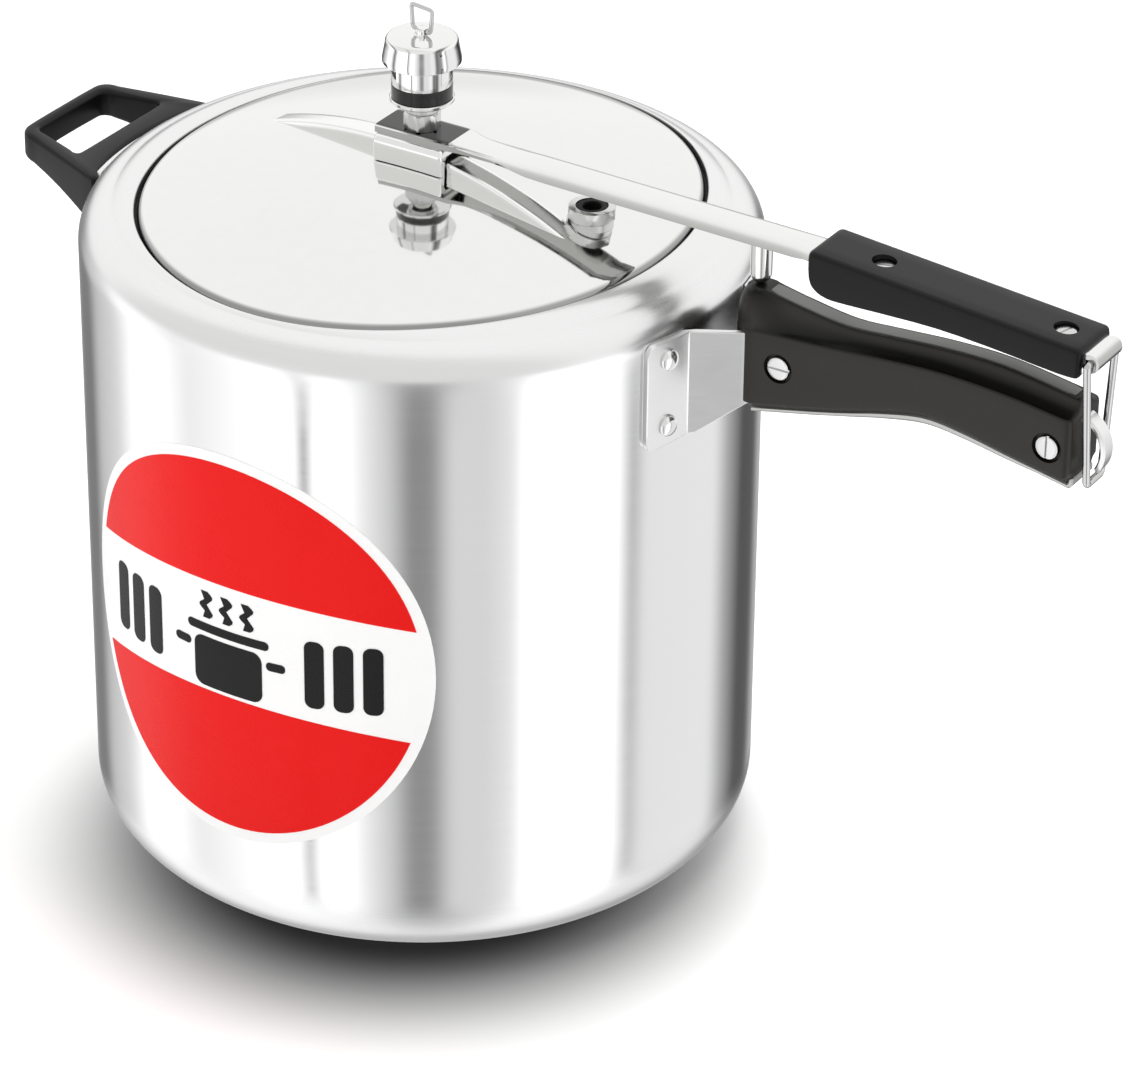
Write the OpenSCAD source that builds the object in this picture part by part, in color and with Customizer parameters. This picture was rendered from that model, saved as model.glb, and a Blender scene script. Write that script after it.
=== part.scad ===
// Tall stovetop pressure cooker with an inside-fitting oval lid.
// +Z is up, +X runs along the long body handle, the origin is the centre of the pot's base.

/* [Pot] */
// Outside diameter of the pot
pot_d = 254; // [250:0.5:258]
// Height of the top of the rim above the base
pot_h = 261.5; // [260:0.5:263]
// Thickness of the side wall and of the rim
wall = 3.25; // [3:0.05:3.5]
// Thickness of the base
base_t = 5; // [4:0.5:6]
// Mouth width along the handles
mouth_x = 205; // [204:0.5:206]
// Mouth width across the handles
mouth_y = 224.8; // [223:0.5:226]

/* [Lid] */
// Height of the lid's crown above the base
lid_top = 275.3; // [275:0.1:275.6]
// Radius of the domed lid
dome_r = 380; // [376:1:384]
// Thickness of the lid
lid_t = 2.5; // [2.2:0.1:2.6]
// Direction of the arched strip, measured from the handles
strip_turn = -10; // [-11:0.5:-9]
// Radius of the arched strip
strip_r = 217.5; // [215:0.5:220]
// Height of the strip's crown above the lid's crown
strip_rise = 5.7; // [5.5:0.1:6]

/* [Handles] */
// Width of the lid handle and of the body handle
grip_w = 24; // [23.6:0.1:24.4]
// Distance of the tilt pivot from the pot's axis
pivot_x = 144; // [143.5:0.1:144.5]
// Height of the tilt pivot
pivot_z = 268; // [267.9:0.1:268.1]
// Distance of the loop's hinge from the pot's axis
loop_x = 279; // [278.9:0.1:279.2]
// Height of the loop's hinge
loop_z = 273.5; // [273.4:0.1:273.6]

/* [Weight] */
// Diameter of the weight's barrel
barrel_d = 22.7; // [22.4:0.1:23]
// Diameter of the cap's skirt
skirt_d = 29.2; // [28.8:0.1:29.6]
// Diameter of the vent nozzle that the weight sits on
nozzle_d = 8; // [7.9:0.05:8.1]

/* [Hidden] */
$fn = 96;

pot_r = pot_d / 2;
in_r = pot_r - wall;
corner_w = 35.5;
corner_h = 26;
shoulder_r = 13.5;
crown = 2.7;
rim_under = pot_h - wall;
gap = 0.2;

// lid edge, gasket and flange, as offsets from the mouth
lid_gap = 1.9;
seal_over = 4.5;
flange_z = 250.6;
flange_t = 2.4;
dome_z = lid_top - dome_r;

// strip, saddle and bar
strip_w = 9.5;
strip_t = 2;
strip_half = 89;
strip_z = lid_top + strip_rise - strip_r;
saddle_l = 30;
saddle_w = 22;
saddle_t = 2.6;
bar_t = 2.7;
plate_top = 288;
plate_z = plate_top - bar_t;
section_r = 12.8;
section_t = 1.7;
bar_w = 18.6;
arch_from = 50;
arch_to = 172;
arch_drop = 0.8;
arch_top = plate_top + 0.3;
strap_drop = 3.6;
strap_from = 166;
strap_top = 283.5;
strap_t = 2.2;
curl_r = 3.5;
curl_w = 18;
wire_r = 1.4;
stud_d = 8.9;

// body handle: side outlines as [x, z]
crease = [[273, 251], [250, 254], [225, 255.4], [205, 254.6], [175, 252.4], [146, 251]];
under = [[146, 221], [180, 228.8], [200, 234.5], [216, 237.5], [231, 236], [251, 231.8], [273, 227.5]];
spine = [[273, 256.2], [244, 260.3], [222, 260.6], [200, 259.3], [182, 258.4], [164, 260.8], [146, 264.5]];
keel_drop = 3;
strap_w = 16;
screw_x = [158.7, 266];
screw_z = 238.5;
tab_in = 7;
tab_out = 9.5;

// brackets on the pot
bracket_t = 2.4;
rivet_turn = 14.2;
rivet_z = [215, 241.4];

// lid handle: side outline as [x, z]
grip_side = [[276, 279], [170, 288], [168.6, 281], [171, 274], [177, 270.6],
             [221, 271.7], [268, 267.7], [275.5, 267.5], [276.6, 273]];
grip_screw_x = [193.3, 265];

// vent, valve and weight
valve_x = 72.5;
valve_y = 1.2;
weight_z = 299;
nozzle_top = 316;
eye_z = 326.2;

function oval_points(a, b, n = 96) = [for (i = [0:n - 1]) [a * cos(360 * i / n), b * sin(360 * i / n)]];
function arc_points(c, r, from, to, n = 8) =
    [for (i = [0:n]) [c[0] + r * cos(from + (to - from) * i / n), c[1] + r * sin(from + (to - from) * i / n)]];
function corner_points(w, h, r, n = 8) =
    [for (i = [0:n]) [r - w + w * sin(90 * i / n), h - h * cos(90 * i / n)]];
function lower(points, d) = [for (p = points) [p[0], p[1] - d]];
function reversed(points) = [for (i = [len(points) - 1:-1:0]) points[i]];

// prism with the mouth's outline, grown outward by grow
module mouth_prism(grow, z0, z1) {
    translate([0, 0, z0]) linear_extrude(z1 - z0)
        polygon(oval_points(mouth_x / 2 + grow, mouth_y / 2 + grow));
}

// flat outline in X and Z, given a thickness along Y
module side_plate(points, y0, y1) {
    translate([0, y1, 0]) rotate([90, 0, 0]) linear_extrude(y1 - y0) polygon(points);
}

// cylinder lying along Y
module cross_rod(x, z, r, y0, y1) {
    translate([x, y0, z]) rotate([-90, 0, 0]) cylinder(r = r, h = y1 - y0, $fn = 64);
}

module hex(flats, h) {
    cylinder(d = flats / cos(30), h = h, $fn = 6);
}

// ---- pot ----

module pot_body() {
    outer = concat([[0, 0]], corner_points(corner_w, corner_h, pot_r),
        arc_points([pot_r - shoulder_r, pot_h - crown - shoulder_r], shoulder_r, 0, 84),
        [[pot_r - 19, pot_h], [0, pot_h]]);
    inner = concat([[0, base_t]],
        [for (p = corner_points(corner_w - wall, corner_h - base_t, in_r)) [p[0], p[1] + base_t]],
        arc_points([pot_r - shoulder_r, rim_under - shoulder_r + wall], shoulder_r - wall, 0, 90),
        [[0, rim_under]]);
    color("silver") difference() {
        rotate_extrude() polygon(outer);
        rotate_extrude() polygon(inner);
        mouth_prism(0, rim_under - 1, pot_h + 1);
        rivet_holes(2.05);
    }
}

module rivet_holes(r) {
    for (side = [-1, 1]) for (z = rivet_z)
        rotate([0, 0, side * rivet_turn]) translate([pot_r - wall - 4, 0, z]) rotate([0, 90, 0])
            cylinder(r = r, h = 14, $fn = 32);
}

tab_plan = [[pot_r - 1.4, -20.7], [pot_r + 0.4, -22.4], [147.4, -tab_out], [172, -tab_out],
    [172, -tab_in], [146.6, -tab_in]];

// left is the -Y side; the right one is its mirror image
module rear_bracket() {
    color("gainsboro") difference() {
        union() {
            difference() {
                translate([0, 0, 206]) cylinder(r = pot_r + bracket_t, h = 43);
                translate([0, 0, 205]) cylinder(r = pot_r, h = 45);
                rotate([0, 0, -9.2]) translate([-pot_r * 2, 0, 200]) cube([pot_r * 4, pot_r * 2, 60]);
                rotate([0, 0, 180 - 18.6]) translate([-pot_r * 2, 0, 200]) cube([pot_r * 4, pot_r * 2, 60]);
            }
            intersection() {
                translate([0, 0, 200]) linear_extrude(60) polygon(tab_plan);
                side_plate([[120, 206], [130, 208], [148, 222], [172, 230], [172, 248], [120, 249]], -40, 0);
            }
        }
        cylinder(r = pot_r, h = pot_h);
        rivet_holes(2.05);
        cross_rod(screw_x[0], screw_z, 2.6, -20, 0);
    }
}

module rear_bracket_left() rear_bracket();
module rear_bracket_right() mirror([0, 1, 0]) rear_bracket();

module bracket_rivets() {
    color("white") for (side = [-1, 1]) for (z = rivet_z)
        rotate([0, 0, side * rivet_turn]) translate([0, 0, z]) rotate([0, 90, 0]) rotate_extrude($fn = 40)
            polygon(concat([[0, pot_r - wall - 1.6], [3.4, pot_r - wall - 1.6], [3.4, pot_r - wall - 0.3],
                [2, pot_r - wall - 0.3], [2, pot_r + bracket_t], [4.1, pot_r + bracket_t]],
                [for (a = [0:15:90]) [4.1 * cos(a), pot_r + bracket_t + 0.6 + 2 * sin(a)]]));
}

module body_handle_solid() {
    half = grip_w / 2;
    union() {
        side_plate(concat(crease, under), -half, half);
        side_plate(concat(spine, [[146, 240], [273, 240]]), -4.5, 4.5);
        side_plate(concat(lower(spine, 2.6), [[146, 240], [273, 240]]), -6.6, 6.6);
        side_plate(concat(reversed(lower(under, -2)), lower(under, keel_drop)), -8, 8);
        hull() {
            translate([148.6, 0, 221.4]) cylinder(r = half, h = 28, $fn = 48);
            translate([145.4, 0, 264]) cylinder(r = 4.5, h = 1.5, $fn = 48);
        }
    }
}

module body_handle_half(side) {
    color([0.16, 0.13, 0.12]) difference() {
        body_handle_solid();
        translate([100, side < 0 ? 0 : -40, 200]) cube([200, 40, 80]);
        // groove for the foot of the post
        cross_rod(pivot_x, pivot_z, 4.2, -14, 14);
        // slots for the bracket tab and for the webs of the core strap
        mirror([0, side < 0 ? 0 : 1, 0]) translate([0, 0, 205]) linear_extrude(45.4)
            offset(delta = gap) polygon(tab_plan);
        translate([148.6, -1.4, 215]) cube([24.8, 2.8, 34]);
        translate([252.6, -1.4, 215]) cube([30, 2.8, 34]);
        side_plate(concat(reversed(lower(under, keel_drop - 0.02)), lower(under, keel_drop + 4)), -9, 9);
        for (x = screw_x) {
            cross_rod(x, screw_z, 2.7, -20, 20);
            cross_rod(x, screw_z, 5.7, -20, -grip_w / 2 + 2.2);
            cross_rod(x, screw_z, 5.7, grip_w / 2 - 2.2, 20);
        }
    }
}

module body_handle_left() body_handle_half(-1);
module body_handle_right() body_handle_half(1);

// strap under the handle, with an upright web at each end and the hook at the free end
module handle_core_strap() {
    top = lower(under, keel_drop);
    color("gainsboro") difference() {
        union() {
            side_plate(concat(reversed(top), lower(top, 2)), -strap_w / 2, strap_w / 2);
            side_plate([[149, 217], [173, 223], [173, 248], [149, 248]], -1.2, 1.2);
            side_plate([[253, 227], [274, 222.5], [274, 248], [253, 248]], -1.2, 1.2);
            translate([273, -strap_w / 2, 222.5]) cube([1.8, strap_w, 27]);
            hook_tongue();
        }
        for (x = screw_x) cross_rod(x, screw_z, 2.6, -20, 20);
    }
}

// the tongue leaves the top of the end plate and bows out and down to a rounded tip
module hook_tongue() {
    bow = concat(arc_points([270.5, 236.9], 13.8, 66, -40, 14), arc_points([279.9, 227.9], 1.5, -50, -140, 4),
        arc_points([270.5, 236.9], 11.6, -38, 66, 14));
    side_plate(bow, -3.5, 3.5);
    translate([273, -3.5, 245]) cube([3.6, 7, 4.5]);
}

module body_handle_screws() {
    color("silver") for (x = screw_x) difference() {
        union() {
            cross_rod(x, screw_z, 2.5, -grip_w / 2 + 1, grip_w / 2 - 0.2);
            cross_rod(x, screw_z, 4.4, -grip_w / 2 - 0.1, -grip_w / 2 + 2.2);
        }
        translate([x, -grip_w / 2 - 0.2, screw_z]) rotate([0, x > 200 ? 90 : 0, 0])
            translate([-5, -1, -0.6]) cube([10, 2, 1.2]);
    }
}

module body_handle_nuts() {
    color("silver") for (x = screw_x) difference() {
        translate([x, grip_w / 2 - 2.2, screw_z]) rotate([-90, 30, 0]) hex(8.6, 2);
        cross_rod(x, screw_z, 2.52, 0, 20);
    }
}

// ---- helper handle ----

helper_side = [[-118, 250], [-166, 254.5], [-166.4, 253], [-166.4, 245], [-166, 243.5], [-118, 228]];
helper_screw_y = 14;
helper_screw_z = 240;
pad_x = 138.5;

module helper_bracket() {
    color("silver") difference() {
        intersection() {
            translate([0, 0, 229]) cylinder(r = pot_r + 1.8, h = 21.4);
            translate([-140, -35.5, 220]) cube([40, 71, 40]);
        }
        cylinder(r = pot_r, h = pot_h);
        for (y = [-helper_screw_y, helper_screw_y])
            translate([-140, y, helper_screw_z]) rotate([0, 90, 0]) cylinder(r = 2.1, h = 30, $fn = 32);
    }
}

module helper_handle() {
    out_r = 7;
    plan = concat([[-112, -39], [-112, 39]], arc_points([-159, 20.5], out_r, 80, 180), arc_points([-159, -20.5], out_r, 180, 280));
    hole = concat([[-pad_x, -26.4], [-pad_x, 26.4]], arc_points([-157.6, 17.6], 4, 80, 180, 5),
        arc_points([-157.6, -17.6], 4, 180, 280, 5));
    color([0.1, 0.1, 0.1]) difference() {
        intersection() {
            translate([0, 0, 220]) linear_extrude(40) polygon(plan);
            side_plate(helper_side, -50, 50);
        }
        translate([0, 0, 219]) linear_extrude(42) polygon(hole);
        cylinder(r = pot_r + 1.8, h = pot_h);
        for (y = [-helper_screw_y, helper_screw_y]) {
            translate([-145, y, helper_screw_z]) rotate([0, 90, 0]) cylinder(r = 2.1, h = 30, $fn = 32);
            translate([-145, y, helper_screw_z]) rotate([0, 90, 0]) cylinder(r = 3.9, h = 9, $fn = 32);
        }
    }
}

module helper_screws() {
    color("silver") for (y = [-helper_screw_y, helper_screw_y]) difference() {
        translate([-pad_x + 0.4, y, helper_screw_z]) rotate([0, 90, 0]) union() {
            cylinder(r = 3.7, h = 2.1, $fn = 32);
            cylinder(r = 2, h = pad_x - 0.4 - sqrt(pot_r * pot_r - y * y) - 0.6, $fn = 32);
        }
        translate([-pad_x - 1, y - 5, helper_screw_z - 0.5]) cube([2.2, 10, 1]);
    }
}

// ---- lid ----

module dome(r_change = 0) {
    translate([0, 0, dome_z]) sphere(r = dome_r + r_change, $fn = 200);
}

module stud_hole() {
    translate([0, 0, 240]) cylinder(d = stud_d + 0.2, h = 80);
}

module valve_hole() {
    translate([valve_x, valve_y, 240]) cylinder(r = 5.1, h = 40);
}

module lid_plate() {
    edge = -lid_gap;
    color("whitesmoke") difference() {
        union() {
            difference() {
                intersection() {
                    dome();
                    mouth_prism(edge, flange_z, lid_top + 1);
                }
                intersection() {
                    dome(-lid_t);
                    mouth_prism(edge - lid_t, flange_z - 1, lid_top + 1);
                }
            }
            difference() {
                mouth_prism(seal_over, flange_z, flange_z + flange_t);
                mouth_prism(edge - lid_t, flange_z - 1, flange_z + flange_t + 1);
            }
        }
        stud_hole();
        valve_hole();
    }
}

module sealing_gasket() {
    below_rim = concat([[0, 240], [in_r - 0.2, 240]],
        arc_points([pot_r - shoulder_r, rim_under - shoulder_r + wall], shoulder_r - wall - 0.2, 0, 90),
        [[0, rim_under - 0.2]]);
    color("dimgray") difference() {
        intersection() {
            mouth_prism(seal_over + 0.6, flange_z + flange_t, rim_under);
            rotate_extrude() polygon(below_rim);
        }
        mouth_prism(-lid_gap + 0.1, flange_z, rim_under + 1);
    }
}

// inverted channel that arches over the dome and dies into it at both ends
module arched_strip() {
    color("silver") difference() {
        rotate([0, 0, strip_turn]) difference() {
            intersection() {
                translate([0, 50, strip_z]) rotate([90, 0, 0]) cylinder(r = strip_r, h = 100, $fn = 200);
                translate([-strip_half, -strip_w / 2, 240]) cube([2 * strip_half, strip_w, 60]);
            }
            intersection() {
                translate([0, 50, strip_z]) rotate([90, 0, 0]) cylinder(r = strip_r - strip_t, h = 100, $fn = 200);
                translate([-76, -strip_w / 2 + 1.5, 240]) cube([152, strip_w - 3, 60]);
            }
        }
        dome();
        stud_hole();
    }
}

module saddle_block() {
    half_w = saddle_w / 2;
    r = 2.6;
    section = concat([[-half_w, 268]], arc_points([-half_w + r, plate_z - r], r, 180, 90, 5),
        arc_points([half_w - r, plate_z - r], r, 90, 0, 5), [[half_w, 268]]);
    color("silver") difference() {
        translate([-saddle_l / 2, 0, 0]) rotate([90, 0, 90]) linear_extrude(saddle_l) polygon(section);
        translate([-20, -half_w + saddle_t, 260]) cube([40, saddle_w - 2 * saddle_t, plate_z - saddle_t - 260]);
        dome();
        stud_hole();
    }
}

// half-round pressed section, open below, with its crown on z = 0 and running along X
module half_round(length) {
    intersection() {
        translate([0, 0, -section_r]) rotate([0, 90, 0]) difference() {
            cylinder(r = section_r, h = length);
            translate([0, 0, -1]) cylinder(r = section_r - section_t, h = length + 2);
        }
        translate([-1, -bar_w / 2, -8]) cube([length + 2, bar_w, 9]);
    }
}

module bar_arch() {
    translate([arch_from, 0, arch_top]) rotate([0, arch_drop, 0]) half_round(arch_to - arch_from);
}

module handle_bar() {
    color("whitesmoke") difference() {
        union() {
            translate([0, 0, plate_z]) linear_extrude(bar_t)
                polygon([[-15.5, -8.6], [15.5, -8.6], [22, -7.2], [arch_from + 4, -7.2], [arch_from + 6, -6],
                    [arch_from + 6, 6], [arch_from + 4, 7.2], [22, 7.2], [15.5, 8.6], [-15.5, 8.6]]);
            bar_arch();
            translate([strap_from, 0.3 - curl_w / 2, strap_top - strap_t]) rotate([0, strap_drop, 0])
                cube([loop_x - strap_from - 1.6, curl_w - 0.6, strap_t]);
            translate([loop_x, -curl_w / 2, loop_z]) rotate([-90, 0, 0]) cylinder(r = curl_r, h = curl_w);
        }
        translate([loop_x, -curl_w, loop_z]) rotate([-90, 0, 0]) cylinder(r = wire_r + 0.08, h = 2 * curl_w);
        stud_hole();
        for (x = grip_screw_x) translate([x, 0, 260]) cylinder(r = 2.1, h = 30, $fn = 32);
    }
}

module support_post() {
    color("silver") difference() {
        union() {
            translate([pivot_x, 0, pivot_z]) cylinder(r = 4, h = 20, $fn = 64);
            intersection() {
                translate([pivot_x, 0, pivot_z - 5]) cylinder(r = 4, h = 6, $fn = 64);
                cross_rod(pivot_x, pivot_z, 4, -6, 6);
            }
        }
        translate([arch_from, 0, arch_top - section_r]) rotate([0, 90 + arch_drop, 0])
            difference() {
                translate([0, 0, 20]) cylinder(r = 60, h = 140);
                cylinder(r = section_r - section_t, h = 200);
            }
    }
}

module lid_handle() {
    color([0.12, 0.12, 0.12]) difference() {
        side_plate(grip_side, -grip_w / 2, grip_w / 2);
        // open channel for the strap, and the space below it
        translate([strap_from - 10, -curl_w / 2 - 0.3, strap_top - 30 + 0.63]) rotate([0, strap_drop, 0])
            cube([150, curl_w + 0.6, 30]);
        translate([160, -bar_w / 2 - 0.2, 260]) cube([arch_to - 160 + 0.6, bar_w + 0.4, 27.2]);
        for (x = grip_screw_x) translate([x, 0, 260]) {
            cylinder(r = 2.1, h = 40, $fn = 32);
        }
        for (i = [0, 1]) translate([grip_screw_x[i], 0, 284.4 - 5.4 * i]) cylinder(r = 4.5, h = 20, $fn = 40);
    }
}

module lid_handle_screws() {
    color("silver") for (i = [0, 1]) translate([grip_screw_x[i], 0, 284.4 - 5.4 * i]) difference() {
        union() {
            cylinder(r = 3.9, h = 1.2, $fn = 40);
            translate([0, 0, -9]) cylinder(r = 2, h = 9.5, $fn = 32);
        }
        translate([-5, -0.5, 0.7]) cube([10, 1, 2]);
    }
}

module lid_handle_nuts() {
    color("silver") for (x = grip_screw_x) difference() {
        translate([x, 0, strap_top - (x - strap_from) * tan(strap_drop) - strap_t - 3.4]) hex(7, 3.1);
        translate([x, 0, 250]) cylinder(r = 2.02, h = 40, $fn = 32);
    }
}

module vent_tube() {
    color("silver") difference() {
        union() {
            translate([0, 0, 268.6]) cylinder(r = 8.5, h = 2.2);
            translate([0, 0, 270]) cylinder(d = stud_d, h = 297 - 270);
            translate([0, 0, 290]) cylinder(d = nozzle_d, h = nozzle_top - 290);
        }
        translate([0, 0, 260]) cylinder(r = 1.8, h = 60, $fn = 32);
    }
}

module vent_lock_nut() {
    color("silver") difference() {
        translate([0, 0, plate_top]) hex(12.4, 8.8);
        translate([0, 0, plate_top - 1]) cylinder(d = stud_d + 0.04, h = 12);
    }
}

module vent_washer() {
    washer_r = 9.5;
    top = dome_z + sqrt(pow(dome_r - lid_t, 2) - washer_r * washer_r);
    color("gray") difference() {
        translate([0, 0, 270.8]) cylinder(r = washer_r, h = top - 270.8);
        translate([0, 0, 270]) cylinder(d = stud_d + 0.3, h = 4);
    }
}

// height of the dome's outside above the base under the valve
valve_seat = dome_z + sqrt(dome_r * dome_r - pow(valve_x + 9, 2));

module safety_valve_body() {
    color("silver") translate([valve_x, valve_y, 0]) difference() {
        union() {
            translate([0, 0, valve_seat]) cylinder(r = 8, h = 3);
            translate([0, 0, valve_seat + 2]) hex(17, 6.2);
            translate([0, 0, 256]) cylinder(r = 5, h = 14);
        }
        translate([-valve_x, -valve_y, 0]) intersection() {
            dome();
            difference() {
                translate([valve_x, valve_y, 255]) cylinder(r = 20, h = 20);
                translate([valve_x, valve_y, 254]) cylinder(r = 5, h = 30);
            }
        }
        translate([0, 0, valve_seat + 4]) cylinder(r = 6.1, h = 6);
        translate([0, 0, 250]) cylinder(r = 3.2, h = 30);
    }
}

module safety_valve_plug() {
    color([0.1, 0.1, 0.1]) translate([valve_x, valve_y, 0]) difference() {
        union() {
            translate([0, 0, valve_seat + 4]) cylinder(r = 6, h = 4);
            translate([0, 0, valve_seat - 3]) cylinder(r = 3.1, h = 8);
        }
        translate([0, 0, valve_seat + 2]) cylinder(r = 2.6, h = 8);
    }
}

module safety_valve_nut() {
    color("silver") difference() {
        translate([valve_x, valve_y, 256.4]) hex(15, 4);
        translate([valve_x, valve_y, 250]) cylinder(r = 5.02, h = 12);
        difference() {
            translate([valve_x, valve_y, 250]) cylinder(r = 20, h = 20);
            dome(-lid_t);
        }
    }
}

// ---- locking loop ----

loop_top_y = curl_w / 2 + 0.5 + wire_r;
loop_low_y = 5.5;
loop_low_z = 224.7;

module wire_rod(a, b, r) {
    d = b - a;
    translate(a) rotate([0, atan2(sqrt(d[0] * d[0] + d[1] * d[1]), d[2]), atan2(d[1], d[0])])
        cylinder(r = r, h = norm(d), $fn = 64);
}

module locking_loop() {
    ends = [[loop_x, -loop_top_y, loop_z], [loop_x, loop_top_y, loop_z],
        [loop_x, loop_low_y, loop_low_z], [loop_x, -loop_low_y, loop_low_z]];
    color("silver") union() {
        cross_rod(loop_x, loop_z, wire_r, -loop_top_y - wire_r, loop_top_y + wire_r);
        cross_rod(loop_x, loop_low_z, wire_r, -loop_low_y - wire_r, loop_low_y + wire_r);
        wire_rod(ends[1], ends[2], wire_r - 0.02);
        wire_rod(ends[0], ends[3], wire_r - 0.02);
    }
}

// ---- weight ----

module weight_core() {
    color("silver") difference() {
        union() {
            translate([0, 0, weight_z]) cylinder(d = barrel_d + 1.3, h = 1.5);
            translate([0, 0, weight_z + 1]) cylinder(d = barrel_d - 2, h = 8);
            translate([0, 0, weight_z + 6.9]) cylinder(d = barrel_d, h = 14.6);
        }
        translate([0, 0, weight_z - 1]) cylinder(d = nozzle_d + 0.15, h = 20);
        translate([0, 0, weight_z]) cylinder(r = 3.02, h = 23);
    }
}

module weight_band() {
    color([0.06, 0.06, 0.06]) difference() {
        translate([0, 0, weight_z + 1.5]) cylinder(d = barrel_d, h = 5.4);
        translate([0, 0, weight_z]) cylinder(d = barrel_d - 2, h = 8);
    }
}

module weight_needle() {
    color("silver") translate([0, 0, 0]) rotate_extrude()
        polygon([[0, 315.2], [0.5, 315.2], [3, 318], [3, 320.5], [0, 320.5]]);
}

module weight_cap() {
    top = 324.4;
    profile = concat([[barrel_d / 2 + 0.05, 314.5], [skirt_d / 2, 314.5], [skirt_d / 2, 316.2], [13.4, 322.4]],
        arc_points([11.2, top - 2.2], 2.2, 10, 90, 5),
        [[3.3, top + 0.2], [3.3, 327.2], [2.7, 327.8], [0, 327.8], [0, 320.5], [barrel_d / 2 + 0.05, 320.5]]);
    color("silver") difference() {
        rotate_extrude() polygon(profile);
        rotate([0, 0, strip_turn]) translate([-10, 0, eye_z]) rotate([0, 90, 0]) cylinder(r = 0.87, h = 20, $fn = 24);
    }
}

ring_low_x = 4.4;
ring_top_x = 5.2;
ring_top_z = 335.4;
ring_r = 0.8;

module pull_ring() {
    color("silver") rotate([0, 0, strip_turn]) union() {
        for (end = [[ring_low_x, eye_z], [ring_top_x, ring_top_z]])
            wire_rod([-end[0] - ring_r, 0, end[1]], [end[0] + ring_r, 0, end[1]], ring_r);
        for (side = [-1, 1])
            wire_rod([side * ring_low_x, 0, eye_z], [side * ring_top_x, 0, ring_top_z], ring_r - 0.02);
    }
}

pot_body();
rear_bracket_left();
rear_bracket_right();
bracket_rivets();
body_handle_left();
body_handle_right();
handle_core_strap();
body_handle_screws();
body_handle_nuts();
helper_bracket();
helper_handle();
helper_screws();
lid_plate();
sealing_gasket();
arched_strip();
saddle_block();
handle_bar();
vent_tube();
vent_lock_nut();
vent_washer();
safety_valve_body();
safety_valve_plug();
safety_valve_nut();
support_post();
lid_handle();
lid_handle_screws();
lid_handle_nuts();
locking_loop();
weight_core();
weight_band();
weight_needle();
weight_cap();
pull_ring();
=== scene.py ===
import math

import bmesh
import bpy
from mathutils import Matrix, Vector


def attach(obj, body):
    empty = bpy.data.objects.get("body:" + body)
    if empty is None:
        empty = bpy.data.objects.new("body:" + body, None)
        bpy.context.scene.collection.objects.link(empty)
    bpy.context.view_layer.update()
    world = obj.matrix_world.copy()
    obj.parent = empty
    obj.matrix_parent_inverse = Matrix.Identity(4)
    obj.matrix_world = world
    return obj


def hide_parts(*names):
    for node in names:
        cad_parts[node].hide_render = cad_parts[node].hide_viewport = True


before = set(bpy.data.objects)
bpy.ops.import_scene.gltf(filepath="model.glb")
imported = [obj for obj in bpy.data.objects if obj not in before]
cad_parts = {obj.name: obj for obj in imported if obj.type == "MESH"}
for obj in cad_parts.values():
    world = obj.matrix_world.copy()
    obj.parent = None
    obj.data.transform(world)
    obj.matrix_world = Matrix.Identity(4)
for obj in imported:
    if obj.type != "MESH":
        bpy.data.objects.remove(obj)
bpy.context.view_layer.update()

# ---- Pot ----
# Deep-drawn aluminium pot, 254 mm across. The wall runs up into a rounded
# shoulder that turns inwards to an oval mouth. It is polished all over, and
# duller on the shoulder and the bottom corner.

MM = 0.001
POT_RADIUS = 127.0
WALL = 3.25
MOUTH_X = 102.5
MOUTH_Y = 112.4
SHOULDER_RADIUS = 13.5
SHOULDER_Z = 245.3
RIM_UNDER = 258.25
ALUMINIUM = (0.85, 0.85, 0.855)
CREST_RADIUS = 114.91
CROWN_WIDTH = 6.91
CROWN_LOW = 258.73
CROWN_RISE = 2.77


def place(piece, row):
    """Puts the newest row of corners at the given points, in millimetres."""
    mesh = bmesh.from_edit_mesh(piece.data)
    mesh.verts.ensure_lookup_table()
    newest = mesh.verts[len(mesh.verts) - len(row):]
    for corner, point in zip(newest, row):
        corner.co = [value * MM for value in point]
    bmesh.update_edit_mesh(piece.data)


def pick(*pieces):
    bpy.ops.object.select_all(action="DESELECT")
    for piece in pieces:
        piece.select_set(True)
    bpy.context.view_layer.objects.active = pieces[0]


def smooth(piece, angle):
    pick(piece)
    bpy.ops.object.shade_smooth_by_angle(angle=math.radians(angle))


def close_row(kind):
    if kind == "point":
        bpy.ops.mesh.merge(type="CENTER")
    elif kind == "face":
        bpy.ops.mesh.edge_face_add()


def select_first(piece, count):
    mesh = bmesh.from_edit_mesh(piece.data)
    mesh.verts.ensure_lookup_table()
    for corner in mesh.verts[:count]:
        corner.select = True
    mesh.select_flush(True)
    bmesh.update_edit_mesh(piece.data)


def pull(name, rows, start="face", end="face", angle=32):
    """Draws a piece out row by row, closes both ends and turns its faces out."""
    count = len(rows[0])
    bpy.ops.object.select_all(action="DESELECT")
    bpy.ops.mesh.primitive_circle_add(vertices=count, radius=1.0, fill_type="NOTHING")
    piece = bpy.context.object
    piece.name = piece.data.name = name
    bpy.ops.object.mode_set(mode="EDIT")
    bpy.ops.mesh.select_mode(type="VERT")
    bpy.ops.mesh.select_all(action="SELECT")
    place(piece, rows[0])
    for row in rows[1:]:
        bpy.ops.mesh.extrude_region_move()
        place(piece, row)
    if end == "join":
        select_first(piece, count)
        bpy.ops.mesh.bridge_edge_loops()
    else:
        close_row(end)
        bpy.ops.mesh.select_all(action="DESELECT")
        select_first(piece, count)
        close_row(start)
    bpy.ops.mesh.select_all(action="SELECT")
    bpy.ops.mesh.remove_doubles(threshold=0.000002)
    bpy.ops.mesh.normals_make_consistent(inside=False)
    bpy.ops.object.mode_set(mode="OBJECT")
    smooth(piece, angle)
    return piece


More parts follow.
